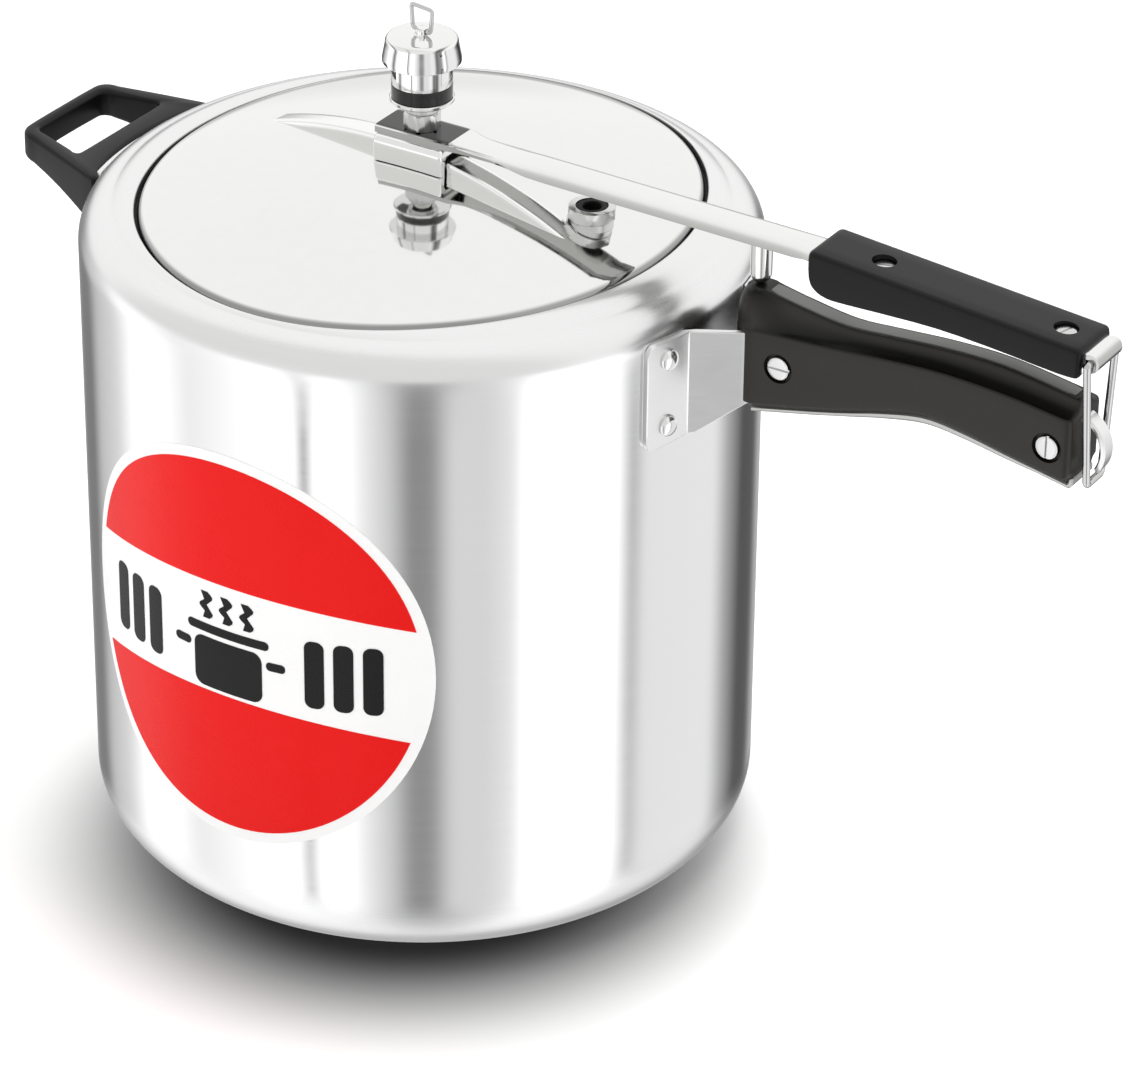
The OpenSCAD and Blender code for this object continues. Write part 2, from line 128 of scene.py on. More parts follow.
def ring(radius, z, count=96, centre=(0, 0)):
    return [(centre[0] + radius * math.cos(math.tau * i / count),
             centre[1] + radius * math.sin(math.tau * i / count), z) for i in range(count)]


def turned(name, outline, count=96, centre=(0, 0)):
    """A lathe-turned piece: its outline runs as (radius, z); radius 0 closes it in a point."""
    start = "point" if outline[0][0] < 0.05 else "face"
    end = "point" if outline[-1][0] < 0.05 else "face"
    rows = [ring(max(radius, 0.01), z, count, centre) for radius, z in outline]
    return pull(name, rows, start, end)


def arc(cx, cz, radius, first, last, steps):
    return [(cx + radius * math.cos(math.radians(first + (last - first) * i / steps)),
             cz + radius * math.sin(math.radians(first + (last - first) * i / steps)))
            for i in range(steps + 1)]


def corner(width, height, radius, base, steps=16):
    return [(radius - width + width * math.sin(math.pi / 2 * i / steps),
             base + height - height * math.cos(math.pi / 2 * i / steps)) for i in range(steps + 1)]


def crown_z(radius):
    """Height of the rim's crown at a distance from the middle of the pot."""
    rise = min(max((CREST_RADIUS - radius) / CROWN_WIDTH, 0), 1)
    return CROWN_LOW + CROWN_RISE * math.sin(math.pi / 2 * rise)


def oval(grow, z=None, drop=0.0, a=MOUTH_X, b=MOUTH_Y):
    """A row round the mouth; z follows the crown of the rim where none is given."""
    row = []
    for i in range(192):
        turn = math.tau * i / 192
        x, y = (a + grow) * math.cos(turn), (b + grow) * math.sin(turn)
        row.append((x, y, (crown_z(math.hypot(x, y)) if z is None else z) - drop))
    return row


def between(row_a, row_b, share, z=None):
    row = []
    for p, q in zip(row_a, row_b):
        x = p[0] + (q[0] - p[0]) * share
        y = p[1] + (q[1] - p[1]) * share
        row.append((x, y, crown_z(math.hypot(x, y)) if z is None else z))
    return row


outer = [(0, 0), (40, 0), (80, 0)] + corner(35.5, 26, POT_RADIUS, 0, 20)
outer += [(POT_RADIUS, z) for z in (45, 75, 110, 150, 190, 220, 238)]
outer += arc(POT_RADIUS - SHOULDER_RADIUS, SHOULDER_Z, SHOULDER_RADIUS, 0, 84, 16)
pot_rows = [ring(max(r, 0.01), z, 192) for r, z in outer]
shoulder_top = ring(outer[-1][0], outer[-1][1], 192)
mouth_lip = oval(1.0)
pot_rows += [between(shoulder_top, mouth_lip, share) for share in (0.12, 0.28, 0.46, 0.64, 0.82)]
pot_rows += [mouth_lip, oval(0.5, drop=0.12), oval(0.12, drop=0.45), oval(0, drop=1.0),
             oval(0, RIM_UNDER + 0.5), oval(0.4, RIM_UNDER)]
inner_top = ring(POT_RADIUS - SHOULDER_RADIUS, RIM_UNDER, 192)
pot_rows += [between(oval(0.4), inner_top, share, RIM_UNDER) for share in (0.5, 1.0)]
inner = arc(POT_RADIUS - SHOULDER_RADIUS, 248.0, 10.25, 78, 0, 8)
inner += [(POT_RADIUS - WALL, z) for z in (200, 120, 60)]
inner += corner(32.25, 21, POT_RADIUS - WALL, 5, 12)[::-1] + [(50, 5), (0, 5)]
pot_rows += [ring(max(r, 0.01), z, 192) for r, z in inner]
pot = pull("polished_pot", pot_rows, "point", "point", angle=40)


def feed(tree, entry, value):
    """Links a socket to an input, or sets the input to a value."""
    if isinstance(value, bpy.types.NodeSocket):
        tree.links.new(value, entry)
    else:
        entry.default_value = value


def node(tree, kind, entries=(), **settings):
    made = tree.nodes.new("ShaderNode" + kind)
    for name, value in settings.items():
        setattr(made, name, value)
    for name, value in dict(entries).items():
        feed(tree, made.inputs[name], value)
    return made


def sums(tree, operation, first, second, clamp=False):
    made = node(tree, "Math", {0: first, 1: second}, operation=operation, use_clamp=clamp)
    return made.outputs[0]


def mix(tree, share, low, high):
    """Blends two colours, each a tone or the socket of one."""
    low, high = [c if isinstance(c, bpy.types.NodeSocket) else (*c, 1) for c in (low, high)]
    made = node(tree, "Mix", {"Factor": share, "A": low, "B": high}, data_type="RGBA")
    return made.outputs["Result"]


def passing(tree, value, first, last, kind="SMOOTHSTEP"):
    """Runs from 0 to 1 while a value goes from the first mark to the last."""
    entries = {"Value": value, "From Min": first, "From Max": last}
    return node(tree, "MapRange", entries, interpolation_type=kind).outputs["Result"]


def grey_ramp(tree, share, stops, kind="LINEAR"):
    """Grey levels from (position, level) stops, of which the first is at 0 and the last at 1."""
    made = node(tree, "ValToRGB", {"Fac": share})
    ramp = made.color_ramp
    ramp.interpolation = kind
    ends = (ramp.elements[0], ramp.elements[1])
    for end, (_, level) in zip(ends, (stops[0], stops[-1])):
        end.color = (level, level, level, 1)
    for position, level in stops[1:-1]:
        ramp.elements.new(position).color = (level, level, level, 1)
    return made.outputs["Color"]


def split_up(tree, source, output):
    """The three parts of a vector that a source node puts out."""
    return node(tree, "SeparateXYZ", {0: node(tree, source).outputs[output]}).outputs


def surface_group(name, entries):
    """A node group that gives a tone, a roughness and a height."""
    group = bpy.data.node_groups.new(name, "ShaderNodeTree")
    for entry, value in entries.items():
        kind = "NodeSocketVector" if isinstance(value, tuple) else "NodeSocketFloat"
        made = group.interface.new_socket(name=entry, in_out="INPUT", socket_type=kind)
        made.default_value = value
    for leaving in ("Tone", "Roughness", "Height"):
        group.interface.new_socket(name=leaving, in_out="OUTPUT", socket_type="NodeSocketFloat")
    return (group, group.nodes.new("NodeGroupInput").outputs,
            group.nodes.new("NodeGroupOutput").inputs)


def finish_group(group, given, result, tone, swing, height):
    """Feeds the outputs; the roughness swings about its given value."""
    spread = sums(group, "MULTIPLY", swing, given["Spread"])
    feed(group, result["Tone"], tone)
    feed(group, result["Roughness"], sums(group, "ADD", spread, given["Roughness"], True))
    feed(group, result["Height"], height)


# Rubbed metal: fine marks drawn out along one direction, with broad hazy
# patches from the polishing wheel.
rubbed, given, result = surface_group("rubbed_metal", {
    "Stretch": (1, 1, 1), "Roughness": 0.2, "Spread": 0.1, "Patch Size": 30})
place_on = node(rubbed, "TexCoord").outputs["Object"]
drawn = node(rubbed, "VectorMath", {0: place_on, 1: given["Stretch"]}, operation="MULTIPLY")
marks = node(rubbed, "TexNoise", {"Scale": 1.0, "Detail": 3.0, "Vector": drawn.outputs[0]})
patches = node(rubbed, "TexNoise", {"Scale": given["Patch Size"], "Detail": 2.0,
                                    "Vector": place_on})
both = sums(rubbed, "ADD", marks.outputs["Fac"], patches.outputs["Fac"])
finish_group(rubbed, given, result, sums(rubbed, "MULTIPLY", both, 0.5, True),
             sums(rubbed, "SUBTRACT", both, 1.0), marks.outputs["Fac"])


def new_material(name):
    """A material with its node tree and the inputs of its shader."""
    material = bpy.data.materials.new(name)
    material.use_nodes = True
    return material, material.node_tree, material.node_tree.nodes["Principled BSDF"].inputs


def surfaced(name, group, settings, colour, shades, depth=None, strength=0.3):
    """A material whose tone, roughness and height come from a surface group."""
    material, tree, shader = new_material(name)
    skin = node(tree, "Group", settings, node_tree=group, name="skin")
    low, high = [[c * shade for c in colour] for shade in shades]
    feed(tree, shader["Base Color"], mix(tree, skin.outputs["Tone"], low, high))
    feed(tree, shader["Roughness"], skin.outputs["Roughness"])
    if depth:
        bump = node(tree, "Bump", {"Strength": strength, "Distance": depth * MM,
                                   "Height": skin.outputs["Height"]})
        feed(tree, shader["Normal"], bump.outputs["Normal"])
    return material, shader


def metal(name, colour, roughness, spread=0.05, stretch=(60, 60, 60), depth=0.02, patches=30):
    """Polished or brushed metal with its own direction of fine marks."""
    settings = {"Stretch": stretch, "Roughness": roughness, "Spread": spread,
                "Patch Size": patches}
    material, shader = surfaced(name, rubbed, settings, colour, (0.94, 1), depth)
    shader["Metallic"].default_value = 1.0
    return material


def dress(piece, material, body, slot, *nodes):
    """Gives a piece its material and body and hides the CAD nodes that it stands for; the slot is
    not used.
    """
    piece.data.materials.clear()
    piece.data.materials.append(material)
    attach(piece, body)
    if nodes:
        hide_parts(*nodes)


def tint(material, share, tone):
    """Blends a tone of painted light and shade into a material's colour by the share given."""
    tree = material.node_tree
    base = tree.nodes["Principled BSDF"].inputs["Base Color"]
    feed(tree, base, mix(tree, share, base.links[0].from_socket, tone))


def paint_light_and_shade_on_sides(material, tone, level, steep):
    """Blends in a tone of painted light and shade where the surface turns from level to steep."""
    tree = material.node_tree
    upward = split_up(tree, "NewGeometry", "Normal")["Z"]
    tint(material, passing(tree, upward, level, steep), tone)


# The wall is duller near its bottom corner and on the shoulder. The stops give
# the roughness against the height, as a share of the rim's height.
RIM_TOP = CROWN_LOW + CROWN_RISE
WALL_ROUGHNESS = 0.16
WALL_ZONES = ((0, 0.46), (0.07, 0.40), (0.13, 0.15), (0.84, 0.12), (0.92, 0.16), (0.96, 0.26),
              (1, 0.28))
pot_metal = metal("polished_pot_aluminium", ALUMINIUM, WALL_ROUGHNESS, spread=0.04,
                  stretch=(9, 9, 700), depth=0.012, patches=12)
tree = pot_metal.node_tree
level = sums(tree, "DIVIDE", split_up(tree, "TexCoord", "Object")["Z"], RIM_TOP * MM, True)
swing = sums(tree, "SUBTRACT", tree.nodes["skin"].outputs["Roughness"], WALL_ROUGHNESS)
feed(tree, tree.nodes["Principled BSDF"].inputs["Roughness"],
     sums(tree, "ADD", swing, grey_ramp(tree, level, WALL_ZONES, "EASE")))
dress(pot, pot_metal, "pot", "polished_pot", "pot_body")

# ---- Round label ----
# A thin glossy vinyl label, 160 mm across, stuck on the side of the wall. It
# has a white border, two red fields and a plain sign of a steaming pot between.

LABEL_Z = 128.5
LABEL_SHIFT = -2.0
LABEL_RADIUS = 80.3
FIELD_RADIUS = 76.0
LABEL_LIFT = 0.15


def wrap(row, lift):
    """Bends flat points, as distance round the wall and height, on to the pot."""
    bent = []
    for s, z in row:
        turn = (s + LABEL_SHIFT) / POT_RADIUS - math.pi / 2
        radius = POT_RADIUS + lift
        bent.append((radius * math.cos(turn), radius * math.sin(turn), z + LABEL_Z))
    return bent


def sticker(name, outline, lift, inner_steps=10):
    """A thin skin on the wall: its outline shrinks to its middle, front and back."""
    mid_s = sum(p[0] for p in outline) / len(outline)
    mid_z = sum(p[1] for p in outline) / len(outline)

    def shrunk(share):
        return [(mid_s + (s - mid_s) * share, mid_z + (z - mid_z) * share) for s, z in outline]

    back = [wrap(shrunk(max(k / inner_steps, 0.002)), lift - LABEL_LIFT)
            for k in range(inner_steps + 1)]
    front = [wrap(shrunk(max(k / inner_steps, 0.002)), lift) for k in range(inner_steps, -1, -1)]
    return pull(name, back + front, "point", "point", angle=30)


def disc_outline(radius):
    return [(radius * math.cos(math.tau * i / 120), radius * math.sin(math.tau * i / 120))
            for i in range(120)]


def field_outline(low_edge, sign, steps=60):
    """A round field cut off by a gently bowed edge."""
    outline = []
    reach = math.acos(low_edge / FIELD_RADIUS)
    for i in range(steps + 1):
        turn = math.pi / 2 - reach + 2 * reach * i / steps
        outline.append((FIELD_RADIUS * math.cos(turn), sign * FIELD_RADIUS * math.sin(turn)))
    half = outline[0][0]
    for i in range(1, steps):
        s = -half + 2 * half * i / steps
        outline.append((s, sign * low_edge + 6.5 * (1 - (s / half) ** 2)))
    return outline


def rounded_box(s0, z0, s1, z1, radius, steps=6):
    outline = []
    for cs, cz, first in ((s1 - radius, z1 - radius, 0), (s0 + radius, z1 - radius, 90),
                          (s0 + radius, z0 + radius, 180), (s1 - radius, z0 + radius, 270)):
        outline += arc(cs, cz, radius, first, first + 90, steps)
    dense = []
    for p, q in zip(outline, outline[1:] + outline[:1]):
        parts = max(int(abs(q[0] - p[0]) / 3), 1)
        dense += [(p[0] + (q[0] - p[0]) * k / parts, p[1] + (q[1] - p[1]) * k / parts)
                  for k in range(parts)]
    return dense


def vinyl(name, colour):
    """Printed vinyl: even ink with a faint mottle under a dull gloss."""
    settings = {"Stretch": (2500, 2500, 2500), "Roughness": 0.28, "Spread": 0.08}
    material, shader = surfaced(name, rubbed, settings, colour, (0.93, 1))
    shader["Specular IOR Level"].default_value = 0.12
    return material


white_vinyl = vinyl("white_vinyl", (0.92, 0.92, 0.92))
red_ink = vinyl("red_ink", (0.78, 0.006, 0.005))
black_ink = vinyl("black_ink", (0.012, 0.012, 0.013))
label = sticker("label_disc", disc_outline(LABEL_RADIUS), LABEL_LIFT, 16)
dress(label, white_vinyl, "pot", "polished_pot")
for name, edge, sign in (("label_field_upper", 19.5, 1), ("label_field_lower", 27.0, -1)):
    field = sticker(name, field_outline(edge, sign), 2 * LABEL_LIFT, 14)
    dress(field, red_ink, "pot", "polished_pot")

# Plain sign: a pot in outline with a lid bar, two handles and three steam marks,
# between two rows of short bars. It is ink of the same thickness.
signs = [("label_sign_pot", rounded_box(-15, -19, 15, 2, 4)),
         ("label_sign_lid", rounded_box(-18, 4, 18, 7.6, 1.7)),
         ("label_sign_handle_left", rounded_box(-24.5, -4, -16.8, -0.5, 1.6)),
         ("label_sign_handle_right", rounded_box(16.8, -4, 24.5, -0.5, 1.6))]
for k, s in enumerate((-9, 0, 9)):
    wave = [(s - 1.5 + 1.6 * math.sin(t * 0.9), 10.0 + t * 1.0) for t in range(12)]
    wave += [(s + 1.5 + 1.6 * math.sin(t * 0.9), 10.0 + t * 1.0) for t in range(11, -1, -1)]
    signs.append((f"label_sign_steam_{k}", wave))
for side, start in ((-1, -62), (1, 32)):
    for k in range(3):
        signs.append((f"label_sign_bar_{'left' if side < 0 else 'right'}_{k}",
                      rounded_box(start + k * 11, -16, start + k * 11 + 7.5, 12, 3.0)))
for name, outline in signs:
    ink = sticker(name, outline, 2 * LABEL_LIFT + 0.05, 6)
    dress(ink, black_ink, "pot", "polished_pot")

# ---- Brackets and rivets on the wall ----
# Pressed sheet plates, 2.4 mm thick, that lie on the wall, leave it and run
# into the body handle. Each is held by two domed aluminium rivets.

SHEET = 2.4
RIVET_TURN = 14.2
RIVET_Z = (215.0, 241.4)


def blend(pairs, x):
    """Value at x on a smooth curve through (x, value) pairs."""
    if x <= pairs[0][0]:
        return pairs[0][1]
    if x >= pairs[-1][0]:
        return pairs[-1][1]
    for k in range(len(pairs) - 1):
        if pairs[k][0] <= x <= pairs[k + 1][0]:
            break
    x1, v1 = pairs[k]
    x2, v2 = pairs[k + 1]
    x0, v0 = pairs[k - 1] if k > 0 else (2 * x1 - x2, 2 * v1 - v2)
    x3, v3 = pairs[k + 2] if k + 2 < len(pairs) else (2 * x2 - x1, 2 * v2 - v1)
    slope1, slope2 = (v2 - v0) / (x2 - x0), (v3 - v1) / (x3 - x1)
    t = (x - x1) / (x2 - x1)
    span = x2 - x1
    return ((2 * t**3 - 3 * t**2 + 1) * v1 + (t**3 - 2 * t**2 + t) * span * slope1
            + (-2 * t**3 + 3 * t**2) * v2 + (t**3 - t**2) * span * slope2)


def straight(pairs, x):
    for (x1, v1), (x2, v2) in zip(pairs, pairs[1:]):
        if x <= x2:
            return v1 + (v2 - v1) * max(x - x1, 0) / (x2 - x1)
    return pairs[-1][1]


def bracket_rows(side):
    """Plan path from the riveted end, with the sheet's lower and upper edge."""
    turns = [math.radians(-18.6 + 9.0 * i / 18) for i in range(19)]
    points = [((POT_RADIUS + SHEET) * math.cos(t), (POT_RADIUS + SHEET) * math.sin(t),
               math.cos(t), math.sin(t)) for t in turns]
    end_x, end_y = 147.4, -9.5
    last = points[-1]
    for i in range(1, 9):
        share = i / 9
        points.append((last[0] + (end_x - last[0]) * share, last[1] + (end_y - last[1]) * share,
                       0.49, -0.87))
    points += [(x, end_y, 0.0, -1.0) for x in (149, 153, 160, 166, 171.5, 172)]
    rows = []
    travelled = 0.0
    for k, (x, y, nx, ny) in enumerate(points):
        if k:
            travelled += math.hypot(x - points[k - 1][0], y - points[k - 1][1])
        low = straight(((120, 206), (130, 208), (148, 222), (172, 230)), x)
        high = straight(((120, 249), (172, 248)), x)
        if travelled < 4:
            inset = 4 - math.sqrt(max(16 - (4 - travelled) ** 2, 0))
            low, high = low + inset, high - inset
        steps = 8
        outside = [(x, y, low + (high - low) * i / steps) for i in range(steps + 1)]
        inside = [(x - nx * SHEET, y - ny * SHEET, z) for _, _, z in reversed(outside)]
        rows.append([(px, -side * py, pz) for px, py, pz in outside + inside])
    return rows


def soften(piece, width):
    """Rounds the sharp edges of a piece by a small radius, in millimetres."""
    bevel = piece.modifiers.new("rounded_edges", "BEVEL")
    bevel.width = width * MM
    bevel.segments = 2
    bevel.limit_method = "ANGLE"
    bevel.angle_limit = math.radians(35)
    pick(piece)
    bpy.ops.object.modifier_apply(modifier=bevel.name)
    smooth(piece, 35)


sheet_metal = metal("bracket_sheet", (0.88, 0.88, 0.88), 0.34, spread=0.08,
                    stretch=(120, 120, 900), depth=0.015, patches=45)
rivet_metal = metal("rivet_aluminium", (0.82, 0.82, 0.82), 0.16, spread=0.06,
                    stretch=(400, 400, 400), depth=0.01)
for side, name in ((-1, "left"), (1, "right")):
    bracket = pull(f"bracket_plate_{name}", bracket_rows(side), angle=35)
    soften(bracket, 0.35)
    dress(bracket, sheet_metal, "pot", "bracket_metal", f"rear_bracket_{name}")


def put(piece, point, *turns):
    """Turns a piece that was made at the origin, last turn first, and moves it to a point."""
    matrix = Matrix.Translation([value * MM for value in point])
    for degrees, axis in turns:
        matrix = matrix @ Matrix.Rotation(math.radians(degrees), 4, axis)
    piece.data.transform(matrix)
    return piece


rivet_outline = [(0, -4.85), (3.2, -4.85), (3.4, -4.6), (3.4, -3.55), (2, -3.5), (2, 0),
                 (2, SHEET), (4.0, SHEET), (4.1, SHEET + 0.3)]
rivet_outline += [(4.1 * math.cos(math.radians(a)), SHEET + 0.6 + 2.0 * math.sin(math.radians(a)))
                  for a in range(0, 91, 10)]
rivets = []
for side in (-1, 1):
    for z in RIVET_Z:
        rivet = put(turned("bracket_rivet", rivet_outline, 40), (POT_RADIUS, 0, z), (90, "Y"))
        rivet.data.transform(Matrix.Rotation(math.radians(side * RIVET_TURN), 4, "Z"))
        rivets.append(rivet)


def join(pieces, name):
    pick(*pieces)
    bpy.ops.object.join()
    pieces[0].name = pieces[0].data.name = name
    return pieces[0]


rivets = join(rivets, "domed_rivets")
dress(rivets, rivet_metal, "pot", "rivet_metal", "bracket_rivets")

# ---- Body handle ----
# Moulded brown-black phenolic: 24 mm wide flanks, a cove along each side and a
# narrow flat spine. Its round nose stands under the post of the lid handle.

CREASE = ((146, 251), (175, 252.4), (205, 254.6), (225, 255.4), (250, 254), (273, 251))
UNDER = ((146, 221), (180, 228.8), (200, 234.5), (216, 237.5), (231, 236), (251, 231.8),
         (273, 227.5))
SPINE = ((140.9, 264.0), (147.5, 264.0), (152, 263.0), (164, 260.8), (182, 258.4), (200, 259.3),
         (222, 260.6), (244, 260.3), (273, 256.2))
NOSE_X = 148.6
HALF = 12.0


def handle_half(x):
    """Half section of the body handle at x, from the keel's middle to the spine's middle."""
    under, crease = blend(UNDER, max(x, 146)), blend(CREASE, max(x, 146))
    if x < NOSE_X:
        width = math.sqrt(max(HALF**2 - (NOSE_X - x) ** 2, 0.09))
        crease = 249.4 + (crease - 249.4) * max(x - 140, 0) / 8.6
    else:
        width = HALF
    if x < 145.4:
        top_half = math.sqrt(max(4.5**2 - (145.4 - x) ** 2, 0.04))
    else:
        top_half = 4.5
    if x < 140.9:
        spine = 249.4 + 14.6 * math.sqrt(max(1 - ((140.9 - x) / 4.35) ** 2, 0))
        top_half = min(width * 0.8, 0.3 + top_half)
    else:
        spine = blend(SPINE, x)
    top_half = min(top_half, width * 0.9)
    hollow = min(max((x - 144) / 17, 0), 1)
    hollow = hollow * hollow * (3 - 2 * hollow)
    share = width / HALF
    half = [(0, under - 3), (4 * share, under - 3), (7.6 * share, under - 3),
            (8.2 * share, under - 2.6), (9.4 * share, under - 0.9), (11.3 * share, under),
            (11.85 * share, under + 0.2), (width, under + 0.8)]
    half += [(width, under + 0.8 + (crease - 1.7 - under) * k / 5) for k in range(1, 6)]
    half += [(width * 0.985, crease - 0.35), (width * 0.95, crease)]
    edge_y, edge_z = width * 0.93, crease
    for k in range(1, 9):
        a = math.pi / 2 * k / 9
        curved = (top_half + 0.4 + (edge_y - top_half - 0.4) * (1 - math.sin(a)),
                  edge_z + (spine - 0.9 - edge_z) * (1 - math.cos(a)))
        full = (top_half + 0.4 + (edge_y - top_half - 0.4) * math.cos(a) ** 0.8,
                edge_z + (spine - 0.9 - edge_z) * math.sin(a) ** 0.9)
        half.append((full[0] + (curved[0] - full[0]) * hollow,
                     full[1] + (curved[1] - full[1]) * hollow))
    half += [(top_half + 0.25, spine - 0.7), (top_half, spine - 0.2), (top_half - 0.25, spine),
             (top_half * 0.5, spine), (0, spine)]
    return half


def mirrored(half, x):
    right = [(x, y, z) for y, z in half]
    left = [(x, -y, z) for y, z in reversed(half[1:-1])]
    return right + left


def shrink(row, amount):
    """The same row pulled in towards its middle, for a rounded end."""
    mid_z = sum(p[2] for p in row) / len(row)
    reach_y = max(abs(p[1]) for p in row)
    reach_z = max(abs(p[2] - mid_z) for p in row)
    return [(x, y * (1 - amount / reach_y), mid_z + (z - mid_z) * (1 - amount / reach_z))
            for x, y, z in row]


stations = [NOSE_X - HALF * math.cos(math.radians(a))
            for a in (6, 14, 22, 30, 38, 46, 54, 62, 70, 80)]
stations += [148.6, 151] + [154 + 3.5 * k for k in range(33)] + [270.0, 271.5]
handle_rows = [mirrored(handle_half(x), x) for x in stations]
end_row = handle_rows[-1]
for x, amount in ((272.4, 0.15), (273.2, 0.45), (273.9, 1.0), (274.4, 1.8), (274.6, 2.8)):
    handle_rows.append([(x, y, z) for _, y, z in shrink(end_row, amount)])
body_handle = pull("body_handle_grip", handle_rows, angle=38)


def cut(piece, tools):
    """Takes the shape of the tools out of a piece and removes them."""
    for tool in tools:
        hollow = piece.modifiers.new("cut", "BOOLEAN")
        hollow.operation = "DIFFERENCE"
        hollow.solver = "EXACT"
        hollow.object = tool
        pick(piece)
        bpy.ops.object.modifier_apply(modifier=hollow.name)
        bpy.data.objects.remove(tool)
    smooth(piece, 35)


def rod_y(name, x, z, radius, y0, y1, count=48, edge=0.0):
    """A round bar lying across the handles, with an optional rounded edge at its ends."""
    outline = [(radius - edge, y0), (radius, y0 + edge), (radius, y1 - edge), (radius - edge, y1)]
    if edge == 0:
        outline = [(radius, y0), (radius, y1)]
    return put(turned(name, outline, count), (x, 0, z), (-90, "X"))


SCREW_X = (158.7, 266.0)
SCREW_Z = 238.5
cut(body_handle, [rod_y("recess", x, SCREW_Z, 5.7, y0, y1) for x in SCREW_X
                  for y0, y1 in ((-14, -9.8), (9.8, 14))])

# Moulded skin: a fine even grain with slightly duller patches from handling.
moulded, given, result = surface_group("moulded_skin", {
    "Grain Size": 1800, "Roughness": 0.4, "Spread": 0.1})
place_on = node(moulded, "TexCoord").outputs["Object"]
grain = node(moulded, "TexNoise", {"Scale": given["Grain Size"], "Detail": 2.0,
                                   "Vector": place_on}).outputs["Fac"]
handled = node(moulded, "TexNoise", {"Scale": 35.0, "Detail": 4.0,
                                     "Vector": place_on}).outputs["Fac"]
finish_group(moulded, given, result, handled, sums(moulded, "SUBTRACT", handled, 0.5), grain)


def moulding(name, colour, roughness, depth=0.05, grain_size=1500, specular=0.22):
    settings = {"Grain Size": grain_size, "Roughness": roughness, "Spread": 0.12}
    material, shader = surfaced(name, moulded, settings, colour, (0.8, 1.2), depth, 0.35)
    shader["Specular IOR Level"].default_value = specular
    return material


brown_black = moulding("brown_black_phenolic", (0.004, 0.0036, 0.003), 0.40, depth=0.09,
                       specular=0.30)
# The handle's steep flanks are painted a lighter tone than its top: a painted sheen.
paint_light_and_shade_on_sides(brown_black, (0.018, 0.016, 0.013), 0.8, 0.2)
dress(body_handle, brown_black, "pot", "brown_black_plastic", "body_handle_left",
      "body_handle_right")

# ---- Core strap and hook ----
# A light steel strap that runs under the body handle, turns up over its end
# and carries a curled hook tongue for the locking loop.

STRAP_HALF = 8.0


def flat_row(x, z, nx, nz, thickness, half):
    """A closed row across a strip, with rounded edges; (nx, nz) points inwards."""
    e = thickness * 0.3
    out = [(-half, e), (-half + e, 0), (-half * 0.5, 0), (0, 0), (half * 0.5, 0), (half - e, 0),
           (half, e)]
    back = [(half, thickness - e), (half - e, thickness), (half * 0.5, thickness), (0, thickness),
            (-half * 0.5, thickness), (-half + e, thickness), (-half, thickness - e)]
    return [(x + nx * d, y, z + nz * d) for y, d in out + back]


strap_rows = []
for k in range(43):
    x = 146 + 3.0 * k
    bow = 1.5 * math.sin(math.pi * min(max((x - 182) / 78, 0), 1))
    strap_rows.append(flat_row(x, blend(UNDER, x) - 5 - bow, 0, 1, 2.0 + bow, STRAP_HALF))
low_z = blend(UNDER, 272) - 5
for a in range(15, 91, 15):
    turn = math.radians(a)
    strap_rows.append(flat_row(272.3 + 2.5 * math.sin(turn),
                               low_z - 0.2 + 2.5 * (1 - math.cos(turn)),
                               -math.sin(turn), math.cos(turn), 1.9, STRAP_HALF))
for z, half in ((225.6, STRAP_HALF), (226.6, STRAP_HALF - 0.4), (227.2, STRAP_HALF - 1.6)):
    strap_rows.append(flat_row(274.8, z, -1, 0, 1.8, half))
core_strap = pull("core_strap", strap_rows, angle=35)
tongue_rows = []
for x, z in ((273.2, 248.6), (274.6, 249.3)):
    tongue_rows.append(flat_row(x, z, 0, -1, 2.2, 3.5))
for k in range(23):
    turn = math.radians(66 - 106 * k / 22)
    half = 3.5 if k < 19 else (3.4, 3.1, 2.5, 1.6)[k - 19]
    tongue_rows.append(flat_row(270.5 + 13.8 * math.cos(turn), 236.9 + 13.8 * math.sin(turn),
                                -math.cos(turn), -math.sin(turn), 2.2, half))
tongue = pull("hook_tongue", tongue_rows, angle=40)
spine_rows = []
for k in range(39):
    x = 150.0 + 3.2 * k
    half = 3.4 if 0 < k < 38 else 2.8
    spine_rows.append(flat_row(x, blend(SPINE, x) + 0.35, 0, -1, 1.2, half))
spine_strip = pull("spine_strip", spine_rows, angle=35)
satin_grey = metal("satin_grey_core", (0.20, 0.20, 0.195), 0.38, spread=0.08,
                   stretch=(60, 900, 900), depth=0.01, patches=30)
dress(spine_strip, satin_grey, "pot", "bracket_metal")
satin_strap = metal("satin_strap_metal", (0.50, 0.50, 0.49), 0.36, spread=0.08,
                    stretch=(60, 900, 900), depth=0.01, patches=30)
dress(core_strap, satin_strap, "pot", "bracket_metal", "handle_core_strap")
dress(tongue, sheet_metal, "pot", "bracket_metal")

# ---- Slotted screws ----
# Plated cheese-head screws in round recesses: two through the body handle, two
# down through the lid handle, two through the pad of the helper handle.


def slotted_head(name, radius, thickness, slot, depth=0.7):
    """A screw head that stands on z = 0 with its slot along X."""
    head = turned(name, [(0, -0.3), (radius - 0.1, -0.3), (radius, -0.2),
                         (radius, thickness - 0.45), (radius - 0.12, thickness - 0.2),
                         (radius - 0.45, thickness - 0.04), (radius * 0.7, thickness),
                         (0, thickness + 0.05)], 48)
    bpy.ops.object.select_all(action="DESELECT")
    bpy.ops.mesh.primitive_cube_add(size=1.0)
    tool = bpy.context.object
    tool.data.transform(Matrix.Translation((0, 0, thickness * MM))
                        @ Matrix.Diagonal((2.5 * radius * MM, slot * MM, 2 * depth * MM, 1)))
    cut(head, [tool])
    return head


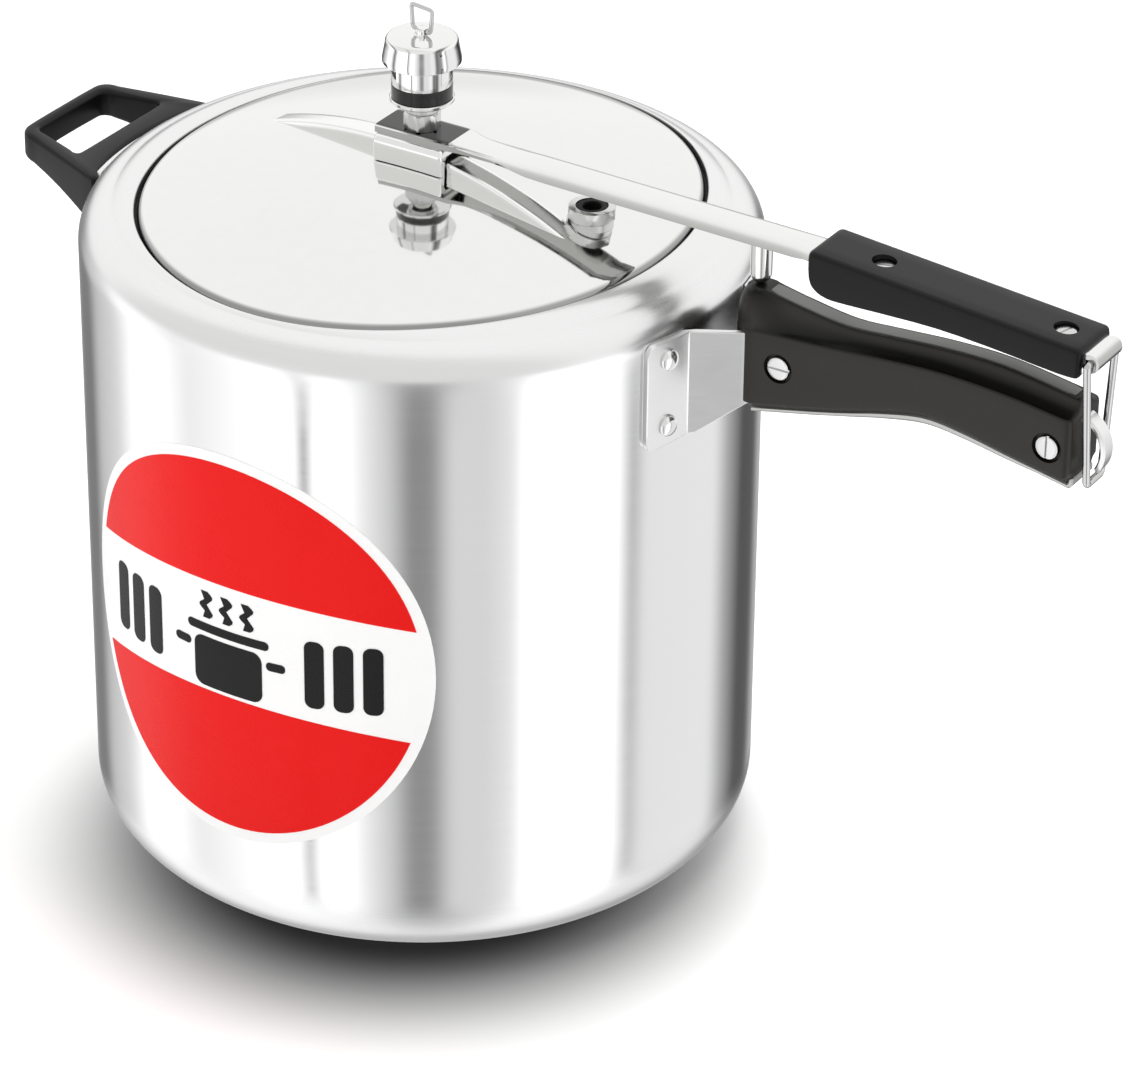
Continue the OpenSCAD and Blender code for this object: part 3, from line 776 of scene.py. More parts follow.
plated = metal("plated_fastener", (0.68, 0.68, 0.68), 0.2, spread=0.1, stretch=(900, 300, 900),
               depth=0.02, patches=120)
heads = []
for x in SCREW_X:
    head = slotted_head("head", 4.4, 2.1, 1.1)
    put(head, (x, -10, SCREW_Z), (90, "X"), (90 if x > 200 else 0, "Z"))
    heads += [head, rod_y("shank", x, SCREW_Z, 2.45, -10.5, 11.8, 32, edge=0.2)]
body_screws = join(heads, "body_handle_screw_heads")
dress(body_screws, plated, "pot", "plated_fastener", "body_handle_screws")


def hex_nut(name, flats, z0, z1, bore, centre=(0, 0), turn=0.0, chamfer=0.62):
    """A hexagon nut with its corners chamfered at both ends."""
    count, corner_r = 48, flats / math.sqrt(3)

    def row(cap, z):
        points = []
        for i in range(count):
            a = math.tau * i / count
            sector = (a + math.pi / 6) % (math.pi / 3) - math.pi / 6
            reach = min(flats / 2 / math.cos(sector), cap)
            points.append((centre[0] + reach * math.cos(a + turn),
                           centre[1] + reach * math.sin(a + turn), z))
        return points

    edge = (corner_r - flats / 2) * chamfer
    rows = [ring(bore, z0, count, centre), row(flats / 2 * 0.99, z0),
            row(flats / 2 + 0.2, z0 + 0.12), row(corner_r, z0 + edge), row(corner_r, z1 - edge),
            row(flats / 2 + 0.2, z1 - 0.12), row(flats / 2 * 0.99, z1),
            ring(bore, z1, count, centre)]
    return pull(name, rows, None, "join", angle=28)


nuts = []
for x in SCREW_X:
    nut = hex_nut("nut", 8.6, 0, 2, 2.5, turn=math.pi / 6)
    end = turned("thread_end", [(0, -0.5), (2.5, -0.5), (2.5, 1.7), (2.1, 2.1), (0, 2.1)], 32)
    nuts += [put(part, (x, 9.8, SCREW_Z), (-90, "X")) for part in (nut, end)]
body_nuts = join(nuts, "body_handle_hex_nuts")
dress(body_nuts, plated, "pot", "plated_fastener", "body_handle_nuts")

# ---- Helper handle ----
# A black phenolic loop that is screwed to a thin bright plate on the wall. Its
# arms flare and deepen towards the pot, and its top slopes down to it.

PAD_X = -138.5


def helper_pairs():
    """Outer and inner plan points of the loop, from the pad's middle round to it again."""
    half = []
    for y in (0.0, 6.0, 12.0, 18.0, 22.0):
        half.append(((-math.sqrt(128.9**2 - y * y), y), (PAD_X, y * 0.97)))
    half += [((-124.9, 31.5), (PAD_X, 24.4)), ((-122.4, 36.0), (PAD_X - 0.4, 25.9)),
             ((-121.9, 38.6), (PAD_X - 1.4, 26.6)), ((-122.6, 39.4), (PAD_X - 2.6, 26.6)),
             ((-126.0, 38.6), (-142.8, 25.9))]
    for k in range(1, 8):
        share = k / 8
        half.append(((-126.0 - 32.8 * share, 38.6 - 10.5 * share),
                     (-142.8 - 14.2 * share, 25.9 - 4.3 * share)))
    for a in range(0, 91, 15):
        turn = math.radians(a)
        half.append(((-158.9 - 7.1 * math.sin(turn), 20.6 + 7.4 * math.cos(turn)),
                     (-157.4 - 4.0 * math.sin(turn), 17.6 + 4.0 * math.cos(turn))))
    half += [((-166.2, 14.0), (-161.5, 11.8)), ((-166.3, 7.0), (-161.6, 6.0)),
             ((-166.3, 0.0), (-161.6, 0.0))]
    back = [((ox, -oy), (ix, -iy)) for (ox, oy), (ix, iy) in reversed(half[1:-1])]
    return half + back


def helper_z(x):
    share = min(max((-118 - x) / 48, 0), 1)
    low = 228 + 15.5 * share + 2.2 * math.sin(math.pi * share)
    return low, 250 + 4.5 * share


def section_row(outer_point, inner_point):
    """A rounded upright section that reaches from the inner to the outer point."""
    (ox, oy), (ix, iy) = outer_point, inner_point
    wide = math.hypot(ox - ix, oy - iy)
    radius = min(2.0, wide * 0.45)
    row = []
    for at_outer, at_top, first in ((1, 1, 0), (0, 1, 90), (0, 0, 180), (1, 0, 270)):
        for k in range(5):
            a = math.radians(first + 22.5 * k)
            along = (wide - radius if at_outer else radius) + radius * math.cos(a)
            x = ix + (ox - ix) * along / wide
            y = iy + (oy - iy) * along / wide
            low, high = helper_z(x)
            z = (high - radius if at_top else low + radius) + radius * math.sin(a)
            row.append((x, y, z))
    return row


helper = pull("helper_loop", [section_row(o, i) for o, i in helper_pairs()], None, "join", 40)
HELPER_SCREWS_Y = (-14.0, 14.0)
cut(helper, [put(turned("recess", [(3.9, 0), (3.9, 12)], 40), (-148, y, 240), (90, "Y"))
             for y in HELPER_SCREWS_Y])
black = moulding("black_phenolic", (0.0065, 0.0065, 0.007), 0.36, depth=0.035)
# The steep sides of the black grips are painted darker: painted shade.
paint_light_and_shade_on_sides(black, (0.003, 0.003, 0.003), 0.85, 0.3)
dress(helper, black, "pot", "black_plastic", "helper_handle")

plate_rows = []
for k in range(33):
    s = -35.5 + 71 * k / 32
    inset = 0.0
    near = 35.5 - abs(s)
    if near < 3:
        inset = 3 - math.sqrt(max(9 - (3 - near) ** 2, 0))
    low, high = 229 + inset, 250.4 - inset
    outside = [(-math.sqrt(128.8**2 - s * s), s, low + (high - low) * i / 6) for i in range(7)]
    inside = [(-math.sqrt(127.02**2 - s * s), s, z) for _, _, z in reversed(outside)]
    plate_rows.append(outside + inside)
helper_plate = pull("helper_plate", plate_rows, angle=35)
soften(helper_plate, 0.3)
dress(helper_plate, sheet_metal, "pot", "bracket_metal", "helper_bracket")

heads = []
for y in HELPER_SCREWS_Y:
    head = slotted_head("head", 3.7, 2.0, 0.9)
    shank = turned("shank", [(0, -9.2), (1.8, -9.2), (2, -9.0), (2, 0), (0, 0)], 32)
    heads += [put(part, (-136.1, y, 240), (-90, "Y")) for part in (head, shank)]
helper_heads = join(heads, "helper_screw_heads")
dress(helper_heads, plated, "pot", "plated_fastener", "helper_screws")

# ---- Lid ----
# Pressed aluminium, 2.5 mm thick: a shallow oval dome with a mirror polish and a
# rolled edge that turns down to a flange under the rim of the pot.

DOME_RADIUS = 380.0
LID_TOP = 275.3
DOME_Z = LID_TOP - DOME_RADIUS
LID_GAP = 1.0
LID_THICK = 2.5
EDGE_RADIUS = 2.8


def dome_z(x, y, lower=0.0):
    """Height of the dome, eased up near its edge so that it ends level with the rim."""
    share = min(math.hypot(x / MOUTH_X, y / MOUTH_Y), 1.0)
    reach = math.hypot(x, y) / max(share, 0.01)
    plain = DOME_Z - lower + math.sqrt(DOME_RADIUS**2 - x * x - y * y)
    edge = DOME_Z + math.sqrt(DOME_RADIUS**2 - reach * reach)
    return plain + (crown_z(reach) + 0.3 - edge) * share**6


def dome_row(share, a, b, lower=0.0):
    row = []
    for i in range(192):
        turn = math.tau * i / 192
        x, y = a * share * math.cos(turn), b * share * math.sin(turn)
        row.append((x, y, dome_z(x, y, lower)))
    return row


lid_a, lid_b = MOUTH_X - LID_GAP, MOUTH_Y - LID_GAP
top_a, top_b = lid_a - EDGE_RADIUS, lid_b - EDGE_RADIUS
lid_rows = [dome_row(max(k / 24, 0.0005), top_a, top_b) for k in range(25)]
rim_row = lid_rows[-1]
for a in range(18, 91, 12):
    turn = math.radians(a)
    out = EDGE_RADIUS * math.sin(turn)
    row = []
    for i, (x, y, z) in enumerate(rim_row):
        angle = math.tau * i / 192
        row.append(((top_a + out) * math.cos(angle), (top_b + out) * math.sin(angle),
                    z - 0.35 * out - EDGE_RADIUS * (1 - math.cos(turn))))
    lid_rows.append(row)
lid_rows += [oval(grow, z, a=lid_a, b=lid_b) for grow, z in (
    (0, 254.0), (0.4, 253.2), (1.0, 253.0), (6.2, 253.0), (6.4, 252.8), (6.4, 250.8),
    (6.2, 250.6), (-2.0, 250.6), (-2.5, 251.0), (-2.5, 253.5))]
lid_rows += [dome_row(k / 16, lid_a - 3.4, lid_b - 3.4, LID_THICK) for k in range(16, 0, -1)]
lid_rows.append(dome_row(0.0005, lid_a, lid_b, LID_THICK))
lid = pull("domed_lid", lid_rows, "point", "point", angle=40)
lid_metal = metal("polished_lid_aluminium", (0.84, 0.84, 0.83), 0.055, spread=0.03,
                  stretch=(160, 160, 160), depth=0.002, patches=9)
# Where the dome turns steep into its rolled edge, the lid is painted a darker grey: painted shade.
paint_light_and_shade_on_sides(lid_metal, (0.34, 0.34, 0.34), 0.92, 0.62)
dress(lid, lid_metal, "lid", "polished_lid", "lid_plate")

# ---- Arched strip ----
# Bright steel channel with its flanges down, bowed over the dome and welded to
# it at both ends. It stands 10 degrees off the line of the handles.

STRIP_TURN = -10.0
STRIP_RADIUS = 217.5
STRIP_RISE = 5.7
STRIP_HALF = 4.75
STRIP_REACH = 76.5
STRIP_Z = LID_TOP + STRIP_RISE - STRIP_RADIUS
turn_c, turn_s = math.cos(math.radians(STRIP_TURN)), math.sin(math.radians(STRIP_TURN))
# half of the channel's section, from its foot to the middle of its top
SIDE = ((0, None), (0, -3.2), (0, -1.1), (0.35, -0.4), (1.1, -0.02), (STRIP_HALF - 2, 0))
section = [(inset - STRIP_HALF, drop) for inset, drop in SIDE] + [(0, 0)]
section += [(STRIP_HALF - inset, drop) for inset, drop in reversed(SIDE)]
section += [(STRIP_HALF - 1.4, None), (0, None), (1.4 - STRIP_HALF, None)]
strip_rows = []
for k in range(81):
    u = -STRIP_REACH + 2 * STRIP_REACH * k / 80
    top = STRIP_Z + math.sqrt(STRIP_RADIUS**2 - u * u)
    row = []
    for v, drop in section:
        under = dome_z(u, v, 1.0)
        z = under if drop is None else max(top + drop, under)
        row.append((u * turn_c - v * turn_s, u * turn_s + v * turn_c, z))
    strip_rows.append(row)
strip = pull("arched_channel_strip", strip_rows, angle=30)
bright_steel = metal("bright_steel", (0.92, 0.92, 0.91), 0.16, spread=0.05,
                     stretch=(90, 900, 900), depth=0.006, patches=40)
dress(strip, bright_steel, "lid", "polished_steel", "arched_strip")

# ---- Saddle block ----
# A thick steel bridge over the strip, folded down at both sides on to the lid.
# The vent tube clamps it between the lid and the handle bar.

PLATE_TOP = 288.0
PLATE_THICK = 2.7
saddle_top = PLATE_TOP - PLATE_THICK
saddle_rows = []
SADDLE_ENDS = ((15, 1.3), (14.8, 0.75), (14.4, 0.35), (13.9, 0.1), (13.3, 0), (9, 0), (3, 0))
saddle_x = [(-x, s) for x, s in SADDLE_ENDS] + [(x, s) for x, s in reversed(SADDLE_ENDS)]
for x, shrinkage in saddle_x:
    half_w = 11.0 - shrinkage
    foot = dome_z(x, half_w, 0.8)
    outside = [(-half_w + 1.1, 270.0), (-half_w + 1.0, foot + 0.9), (-half_w + 0.3, foot + 1.15),
               (-half_w, foot + 1.8), (-half_w, saddle_top - 3.0)]
    outside += arc(-half_w + 3.0, saddle_top - 3.0 - shrinkage, 3.0, 165, 90, 6)
    outside += arc(half_w - 3.0, saddle_top - 3.0 - shrinkage, 3.0, 90, 15, 6)
    outside += [(half_w, saddle_top - 3.0), (half_w, foot + 1.8), (half_w - 0.3, foot + 1.15),
                (half_w - 1.0, foot + 0.9), (half_w - 1.1, 270.0)]
    inside = [(8.2, 270.0), (8.2, 280.0), (6.8, 282.2), (0, 282.4), (-6.8, 282.2), (-8.2, 280.0),
              (-8.2, 270.0)]
    saddle_rows.append([(x, y, max(z, dome_z(x, y, 0.8))) for y, z in outside + inside])
saddle = pull("saddle_bridge", saddle_rows, angle=30)
dress(saddle, bright_steel, "lid", "polished_steel", "saddle_block")

# ---- Handle bar ----
# One pressed steel bar: a flat plate under the lock nut, a short neck, a half-
# round length open below, and a flat strap in the grip that ends in a curl.

LOOP_X, LOOP_Z = 279.0, 273.5
CURL_RADIUS = 3.5
STRAP_DROP = math.tan(math.radians(3.6))


def bar_row(x, top, half, rise, thick):
    """A section of the bar: its crown at top, its edges lower by rise."""
    steps = 14
    outside = []
    for k in range(steps + 1):
        y = -half + 2 * half * k / steps
        outside.append((y, top - rise * (y / half) ** 2 * (0.86 + 0.14 * (y / half) ** 2)))
    inside = []
    for k in range(steps, -1, -1):
        y = (-half + 2 * half * k / steps) * (1 - 0.62 * thick / half * min(rise / 3, 1))
        z = top - thick - (rise - thick * 0.15 * min(rise, 1)) * (y / half) ** 2 * (
            0.86 + 0.14 * (y / half) ** 2)
        inside.append((y, z))
    outside[0] = (outside[0][0] + 0.12, outside[0][1] - 0.35)
    outside[-1] = (outside[-1][0] - 0.12, outside[-1][1] - 0.35)
    return [(x, y, z) for y, z in outside + inside]


bar_stations = [(-15.5, 288, 8.2, 0.03, 2.65), (-15.2, 288, 8.5, 0.03, 2.7),
                (-14.8, 288, 8.6, 0.03, 2.7), (-8, 288, 8.6, 0.03, 2.7),
                (8, 288, 8.6, 0.03, 2.7), (14.6, 288, 8.6, 0.03, 2.7),
                (15.4, 288, 8.6, 0.05, 2.7), (17, 287.95, 8.4, 0.15, 2.6),
                (20, 287.8, 7.8, 0.5, 2.4), (24, 287.55, 7.3, 0.9, 2.2),
                (29, 287.45, 7.2, 1.1, 2.1), (34, 287.5, 7.3, 1.3, 2.0),
                (39, 287.75, 7.8, 1.9, 1.9), (44, 288.0, 8.6, 2.9, 1.8),
                (50, 288.2, 9.2, 3.7, 1.7), (58, 288.15, 9.3, 3.95, 1.7)]
for x in (70, 85, 100, 115, 130, 145, 155, 162):
    bar_stations.append((x, 288.3 - (x - 50) * math.tan(math.radians(0.8)), 9.3, 4.0, 1.7))
for x, top, half, rise in ((166, 286.4, 9.2, 3.4), (170, 285.4, 9.0, 2.2), (175, 284.2, 8.8, 1.0),
                           (180, 283.2, 8.7, 0.3), (186, 282.25, 8.7, 0.05)):
    bar_stations.append((x, top, half, rise, 2.0))
for x in (200, 215, 230, 245, 260, 270):
    bar_stations.append((x, 283.5 - (x - 166) * STRAP_DROP, 8.7, 0.03, 2.0))
bar_stations.append((276, 276.85, 8.9, 0.03, 2.0))
bar_rows = [bar_row(*station) for station in bar_stations]
for k in range(17):
    turn = math.radians(96 - 19 * k)
    outer_x, outer_z = LOOP_X + CURL_RADIUS * math.cos(turn), LOOP_Z + CURL_RADIUS * math.sin(turn)
    thick = 1.95 if k < 15 else 1.6
    inner_x = LOOP_X + (CURL_RADIUS - thick) * math.cos(turn)
    inner_z = LOOP_Z + (CURL_RADIUS - thick) * math.sin(turn)
    across = [-8.9 + 17.8 * i / 14 for i in range(15)]
    bar_rows.append([(outer_x, y, outer_z) for y in across]
                    + [(inner_x, y, inner_z) for y in reversed(across)])
bar = pull("pressed_handle_bar", bar_rows, angle=42)
bar_steel = metal("pressed_bright_steel", (0.86, 0.86, 0.85), 0.13, spread=0.07,
                  stretch=(60, 900, 900), depth=0.008, patches=25)
# The sides of the bar, where they turn steep, are painted a duller grey: painted shade.
paint_light_and_shade_on_sides(bar_steel, (0.50, 0.50, 0.49), 0.97, 0.55)
# The clamped plate is painted dark on top, as far as the bend of the neck: a painted reflection.
tree = bar_steel.node_tree
on_bar = split_up(tree, "TexCoord", "Object")
on_plate = passing(tree, on_bar["X"], 16.4 * MM, 16.0 * MM, "LINEAR")
upper = passing(tree, on_bar["Z"], 287.75 * MM, 287.95 * MM, "LINEAR")
tint(bar_steel, sums(tree, "MULTIPLY", on_plate, upper), (0.075, 0.075, 0.075))
dress(bar, bar_steel, "lid", "polished_steel", "handle_bar")

# ---- Post ----
# A steel post, 8 mm thick, riveted up into the bar. Its rounded foot stands in
# the groove of the body handle and carries the lever.

post_outline = [(0.0, 264.05), (1.2, 264.2), (2.4, 264.8), (3.3, 265.8), (3.85, 267.0),
                (4.0, 268.2), (4.0, 275.0), (4.0, 281.0), (4.0, 284.2), (3.0, 284.6), (0, 284.7)]
post = turned("lever_post", post_outline, 48, (144.0, 0))
dress(post, bright_steel, "lid", "polished_steel", "support_post")

# ---- Lid handle ----
# Black phenolic grip with a flat top and rounded long edges. It is open below,
# where the strap of the bar lies, and two screws hold it from above.

GRIP_TOP = ((168.6, 288.0), (276.0, 279.0))
GRIP_LOW = ((168.6, 280.5), (169.6, 276.3), (172.0, 273.2), (175.5, 271.4), (180, 270.8),
            (199, 271.3), (221, 271.6), (245, 270.0), (268.0, 267.7), (275.0, 267.6),
            (276.5, 268.0))


def grip_row(x, inset=0.0):
    top = straight(GRIP_TOP, x) - inset
    low = blend(GRIP_LOW, x) + inset
    half = 12.0 - inset
    roof = max(top - 4.6, low + 0.6)
    right = [(0, top), (5, top), (half - 2.0, top), (half - 0.95, top - 0.22),
             (half - 0.3, top - 0.85), (half - 0.05, top - 1.8), (half, top - 4.0),
             (half, (top + low) / 2), (half, low + 1.4), (half - 0.35, low + 0.4),
             (half - 1.2, low), (half - 1.9, low), (9.6, low + 0.25),
             (9.5, min(low + 2.0, roof)), (9.5, roof - 0.2), (9.3, roof), (4, roof)]
    left = [(-y, z) for y, z in reversed(right[1:])]
    return [(x, y, z) for y, z in right + [(0, roof)] + left]


GRIP_ENDS = ((168.6, 2.2), (168.75, 1.5), (169.1, 0.9), (169.7, 0.35), (170.4, 0.08),
             (275.2, 0.1), (275.8, 0.4), (276.2, 0.9), (276.45, 1.6))
grip_x = [171.2, 172.2, 173.5, 175, 177, 179, 182, 186, 192, 198, 204, 212, 221, 230, 240, 250, 260,
          268, 272, 274.4]
grip_stations = sorted(list(GRIP_ENDS) + [(x, 0.0) for x in grip_x])
grip = pull("lid_handle_grip", [grip_row(x, inset) for x, inset in grip_stations], angle=40)
GRIP_SCREWS = ((193.3, 284.4), (265.0, 279.0))
cut(grip, [turned("recess", [(4.5, z - 1.1), (4.5, z + 12)], 48, (x, 0)) for x, z in GRIP_SCREWS])
dress(grip, black, "lid", "black_plastic", "lid_handle")

heads = []
for x, z in GRIP_SCREWS:
    head = slotted_head("head", 4.0, 1.0, 1.0, 0.45)
    put(head, (x, 0, z - 1.1), (20 if x < 200 else 75, "Z"))
    tip = 275.4 if x < 200 else 270.0
    shank = turned("shank", [(0, tip), (1.8, tip), (2, tip + 0.2), (2, z - 1.2), (0, z - 1.2)],
                   32, (x, 0))
    heads += [head, shank]
grip_heads = join(heads, "lid_handle_screw_heads")
dress(grip_heads, plated, "lid", "plated_fastener", "lid_handle_screws")

# ---- Vent tube and lock nut ----
# The tube passes up through lid, saddle and plate; the hexagon lock nut clamps
# them. Plated brass, with turned marks.

lock_nut = hex_nut("vent_lock_hex", 12.4, PLATE_TOP, PLATE_TOP + 6.6, 4.46, turn=0.35)
collar = turned("vent_collar", [(4.47, 294.6), (5.7, 294.6), (5.9, 294.9), (5.9, 296.4),
                                (5.6, 296.8), (4.47, 296.8)], 64)
lock_nut = join([lock_nut, collar], "vent_lock_hex")
dress(lock_nut, plated, "lid", "plated_fastener", "vent_lock_nut")

turned_brass = metal("plated_turned_brass", (0.78, 0.77, 0.74), 0.15, spread=0.08,
                     stretch=(200, 200, 2500), depth=0.006, patches=80)

# ---- Safety valve ----
# Plated hexagon body on a round collar, with a black rubber plug that blows out
# if the vent is blocked.

VALVE = (72.5, 1.2)
valve_seat = dome_z(VALVE[0] + 9, 0)
valve_hex = hex_nut("safety_valve_hex", 17.0, valve_seat + 3.6, valve_seat + 8.2, 6.05, VALVE,
                    turn=0.5, chamfer=1.15)
valve_collar = turned("safety_valve_collar",
                      [(0, 262.0), (3.2, 262.0), (3.2, 256.1), (3.3, 256.0), (4.8, 256.0),
                       (5.0, 256.2), (5.0, valve_seat + 0.1), (7.7, valve_seat + 0.1),
                       (8.0, valve_seat + 0.4),
                       (8.0, valve_seat + 3.3), (6, valve_seat + 3.5), (0, valve_seat + 3.5)],
                      64, VALVE)
valve_body = join([valve_hex, valve_collar], "safety_valve_hex")
satin_nickel = metal("satin_nickel", (0.74, 0.74, 0.73), 0.30, spread=0.08,
                     stretch=(400, 400, 400), depth=0.006, patches=60)
dress(valve_body, satin_nickel, "lid", "plated_fastener", "safety_valve_body")
plug_top = valve_seat + 8.0
plug = turned("safety_valve_rubber",
              [(0, plug_top - 5.0), (6.0, plug_top - 5.0), (6.0, plug_top - 0.5),
               (5.7, plug_top - 0.1), (5.2, plug_top), (3.9, plug_top - 0.1),
               (3.5, plug_top - 0.5), (3.4, plug_top - 4.6), (0, plug_top - 4.7)], 64, VALVE)
rubber = moulding("black_rubber", (0.010, 0.010, 0.010), 0.55, depth=0.03, grain_size=2600)
dress(plug, rubber, "lid", "gasket_rubber", "safety_valve_plug")

# ---- Locking loop ----
# A loop of bright 2.8 mm wire. Its top side turns in the curl of the bar, and
# its lower side hooks under the tongue.

WIRE = 1.4
LOOP_LOW_Z = 224.7


def unit(vector):
    size = math.sqrt(sum(part * part for part in vector))
    return [part / size for part in vector]


def crossed(a, b):
    return [a[1] * b[2] - a[2] * b[1], a[2] * b[0] - a[0] * b[2], a[0] * b[1] - a[1] * b[0]]


def gap(there, here):
    return [a - b for a, b in zip(there, here)]


def wire_loop(name, corners, radius, bend, steps=7, sides=20):
    """Round wire through the given corners, closed, with each corner bent round."""
    line = []
    for k, here in enumerate(corners):
        p, q = [[h + v * bend for h, v in zip(here, unit(gap(there, here)))]
                for there in (corners[k - 1], corners[(k + 1) % len(corners)])]
        for i in range(steps + 1):
            t = i / steps
            line.append([(1 - t) ** 2 * a + 2 * t * (1 - t) * b + t * t * c
                         for a, b, c in zip(p, here, q)])
    across = unit(crossed(gap(corners[1], corners[0]), gap(corners[2], corners[1])))
    rows = []
    for k, point in enumerate(line):
        outward = crossed(unit(gap(line[(k + 1) % len(line)], line[k - 1])), across)
        rows.append([tuple(point[i] + radius * (math.cos(math.tau * j / sides) * outward[i]
                                                + math.sin(math.tau * j / sides) * across[i])
                           for i in range(3)) for j in range(sides)])
    return pull(name, rows, None, "join", 60)


wire_metal = metal("bright_wire", (0.60, 0.60, 0.60), 0.14, spread=0.08, stretch=(900, 900, 90),
                   depth=0.008, patches=150)
top_y, low_y = 9.0 + 0.5 + WIRE, 5.5
loop = wire_loop("locking_wire_loop", [(LOOP_X, -top_y, LOOP_Z), (LOOP_X, top_y, LOOP_Z),
                                       (LOOP_X, low_y, LOOP_LOW_Z), (LOOP_X, -low_y, LOOP_LOW_Z)],
                 WIRE, 1.6)
dress(loop, wire_metal, "loop", "wire_steel", "locking_loop")

# ---- Vent weight ----
# A chromed brass weight that rests on the vent: base plate, glossy black band,
# barrel, and a heavy cap with a flared skirt and a cross-drilled boss.

WEIGHT_Z = 299.0
BARREL = 11.35
chrome = metal("weight_chrome", (0.86, 0.86, 0.86), 0.035, spread=0.02, stretch=(60, 60, 900),
               depth=0.001, patches=60)
core = turned("weight_barrel",
              [(4.1, WEIGHT_Z), (11.7, WEIGHT_Z), (12.0, WEIGHT_Z + 0.3), (12.0, WEIGHT_Z + 1.2),
               (11.7, WEIGHT_Z + 1.5), (10.3, WEIGHT_Z + 1.5), (10.3, WEIGHT_Z + 6.9),
               (BARREL - 0.2, WEIGHT_Z + 6.9), (BARREL, WEIGHT_Z + 7.15),
               (BARREL, WEIGHT_Z + 16), (BARREL, WEIGHT_Z + 21.3), (4.1, WEIGHT_Z + 21.3)], 96)
dress(core, chrome, "weight", "weight_chrome", "weight_core")
band = turned("weight_black_band",
              [(10.3, WEIGHT_Z + 1.52), (BARREL - 0.25, WEIGHT_Z + 1.52),
               (BARREL, WEIGHT_Z + 1.8), (BARREL, WEIGHT_Z + 6.6),
               (BARREL - 0.25, WEIGHT_Z + 6.88), (10.3, WEIGHT_Z + 6.88)], 96)
# Upright streaks of painted reflection round the chrome sides, as levels against the way that it
# faces.
PAINTED_REFLECTION_STREAKS = ((0.0, 0.30), (0.05, 0.85), (0.12, 0.90), (0.16, 0.16), (0.19, 0.90), (0.33, 0.90),
           (0.355, 0.55), (0.38, 0.92), (0.64, 0.92), (0.70, 0.10), (0.76, 0.22), (0.80, 0.88),
           (0.92, 0.88), (1.0, 0.25))
tree = chrome.node_tree
across = node(tree, "VectorMath", {0: node(tree, "NewGeometry").outputs["Normal"],
                                   1: (0.425, 0.263, 0)}, operation="DOT_PRODUCT")
painted_streaks = grey_ramp(tree, sums(tree, "ADD", across.outputs["Value"], 0.5), PAINTED_REFLECTION_STREAKS)
paint_light_and_shade_on_sides(chrome, painted_streaks, 0.85, 0.55)
gloss_black = moulding("gloss_black_band", (0.008, 0.008, 0.008), 0.10, depth=0.002)
gloss_black.node_tree.nodes["Principled BSDF"].inputs["Coat Weight"].default_value = 0.5
dress(band, gloss_black, "weight", "band_black", "weight_band")
cap_profile = [(BARREL + 0.05, 314.5), (14.35, 314.5), (14.6, 314.75), (14.6, 315.9),
               (14.52, 316.5), (14.1, 318.6), (13.75, 320.6), (13.45, 322.2)]
cap_profile += arc(11.3, 322.2, 2.2, 8, 82, 8)
cap_profile += [(9.0, 324.5), (6.0, 324.7), (3.1, 324.85), (2.6, 325.1), (2.45, 325.6),
                (2.45, 326.6), (2.2, 327.1), (1.6, 327.4), (0, 327.5)]
cap = turned("weight_cap_flared", [(0, 320.5), (BARREL + 0.05, 320.5)] + cap_profile, 96)
EYE_Z = 326.2
drill = rod_y("drill", 0, EYE_Z, 1.0, -6, 6, 32)
drill.data.transform(Matrix.Rotation(math.radians(90 + STRIP_TURN), 4, "Z"))
cut(cap, [drill])
dress(cap, chrome, "weight", "weight_chrome", "weight_cap")

# ---- Pull ring ----
# A small bent wire ring that swings in the boss and lifts the weight.

ring_corners = [(u * turn_c, u * turn_s, z) for u, z in
                ((-4.4, EYE_Z), (4.4, EYE_Z), (5.2, 335.4), (-5.2, 335.4))]
pull_ring = wire_loop("pull_ring_wire", ring_corners, 0.8, 1.5)
dress(pull_ring, wire_metal, "ring", "wire_steel", "pull_ring")

# ---- CAD pieces that stay ----
# Parts that lie inside or under the lid keep their CAD shape and take their
# real finish.

for cad_node, material in (("sealing_gasket", rubber), ("vent_tube", turned_brass),
                           ("vent_washer", plated), ("safety_valve_nut", plated),
                           ("lid_handle_nuts", plated), ("weight_needle", turned_brass)):
    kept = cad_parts[cad_node]
    if not kept.material_slots:
        kept.data.materials.append(material)
    for slot in kept.material_slots:
        slot.material = material

# ---- Studio ----
# A pale floor with a painted shadow close to the pot, under broad soft light. The
# surroundings are bright, with grey panels low down, from (direction in degrees,
# level), that give the polished wall its upright bands.

bpy.ops.object.select_all(action="DESELECT")
bpy.ops.mesh.primitive_plane_add(size=14.0, location=(0, 0, 0))
floor = bpy.context.object
floor.name = "studio_floor"
floor_paint, tree, shader = new_material("pale_floor")
off_centre = node(tree, "VectorMath", {0: node(tree, "TexCoord").outputs["Object"],
                                       1: (-0.014, 0.031, 0)}, operation="ADD")
from_pot = node(tree, "VectorMath", {0: off_centre.outputs[0]}, operation="LENGTH")
# The floor's colour is painted dark near the pot: a painted shadow.
painted_shadow = passing(tree, from_pot.outputs["Value"], 0.074, 0.160)
floor_tone = mix(tree, painted_shadow, (0.02, 0.02, 0.02), (0.93, 0.93, 0.93))
for entry, value in (("Base Color", floor_tone), ("Emission Color", floor_tone),
                     ("Emission Strength", 0.12), ("Roughness", 0.7),
                     ("Specular IOR Level", 0.1)):
    feed(tree, shader[entry], value)
floor.data.materials.append(floor_paint)
floor.visible_glossy = False

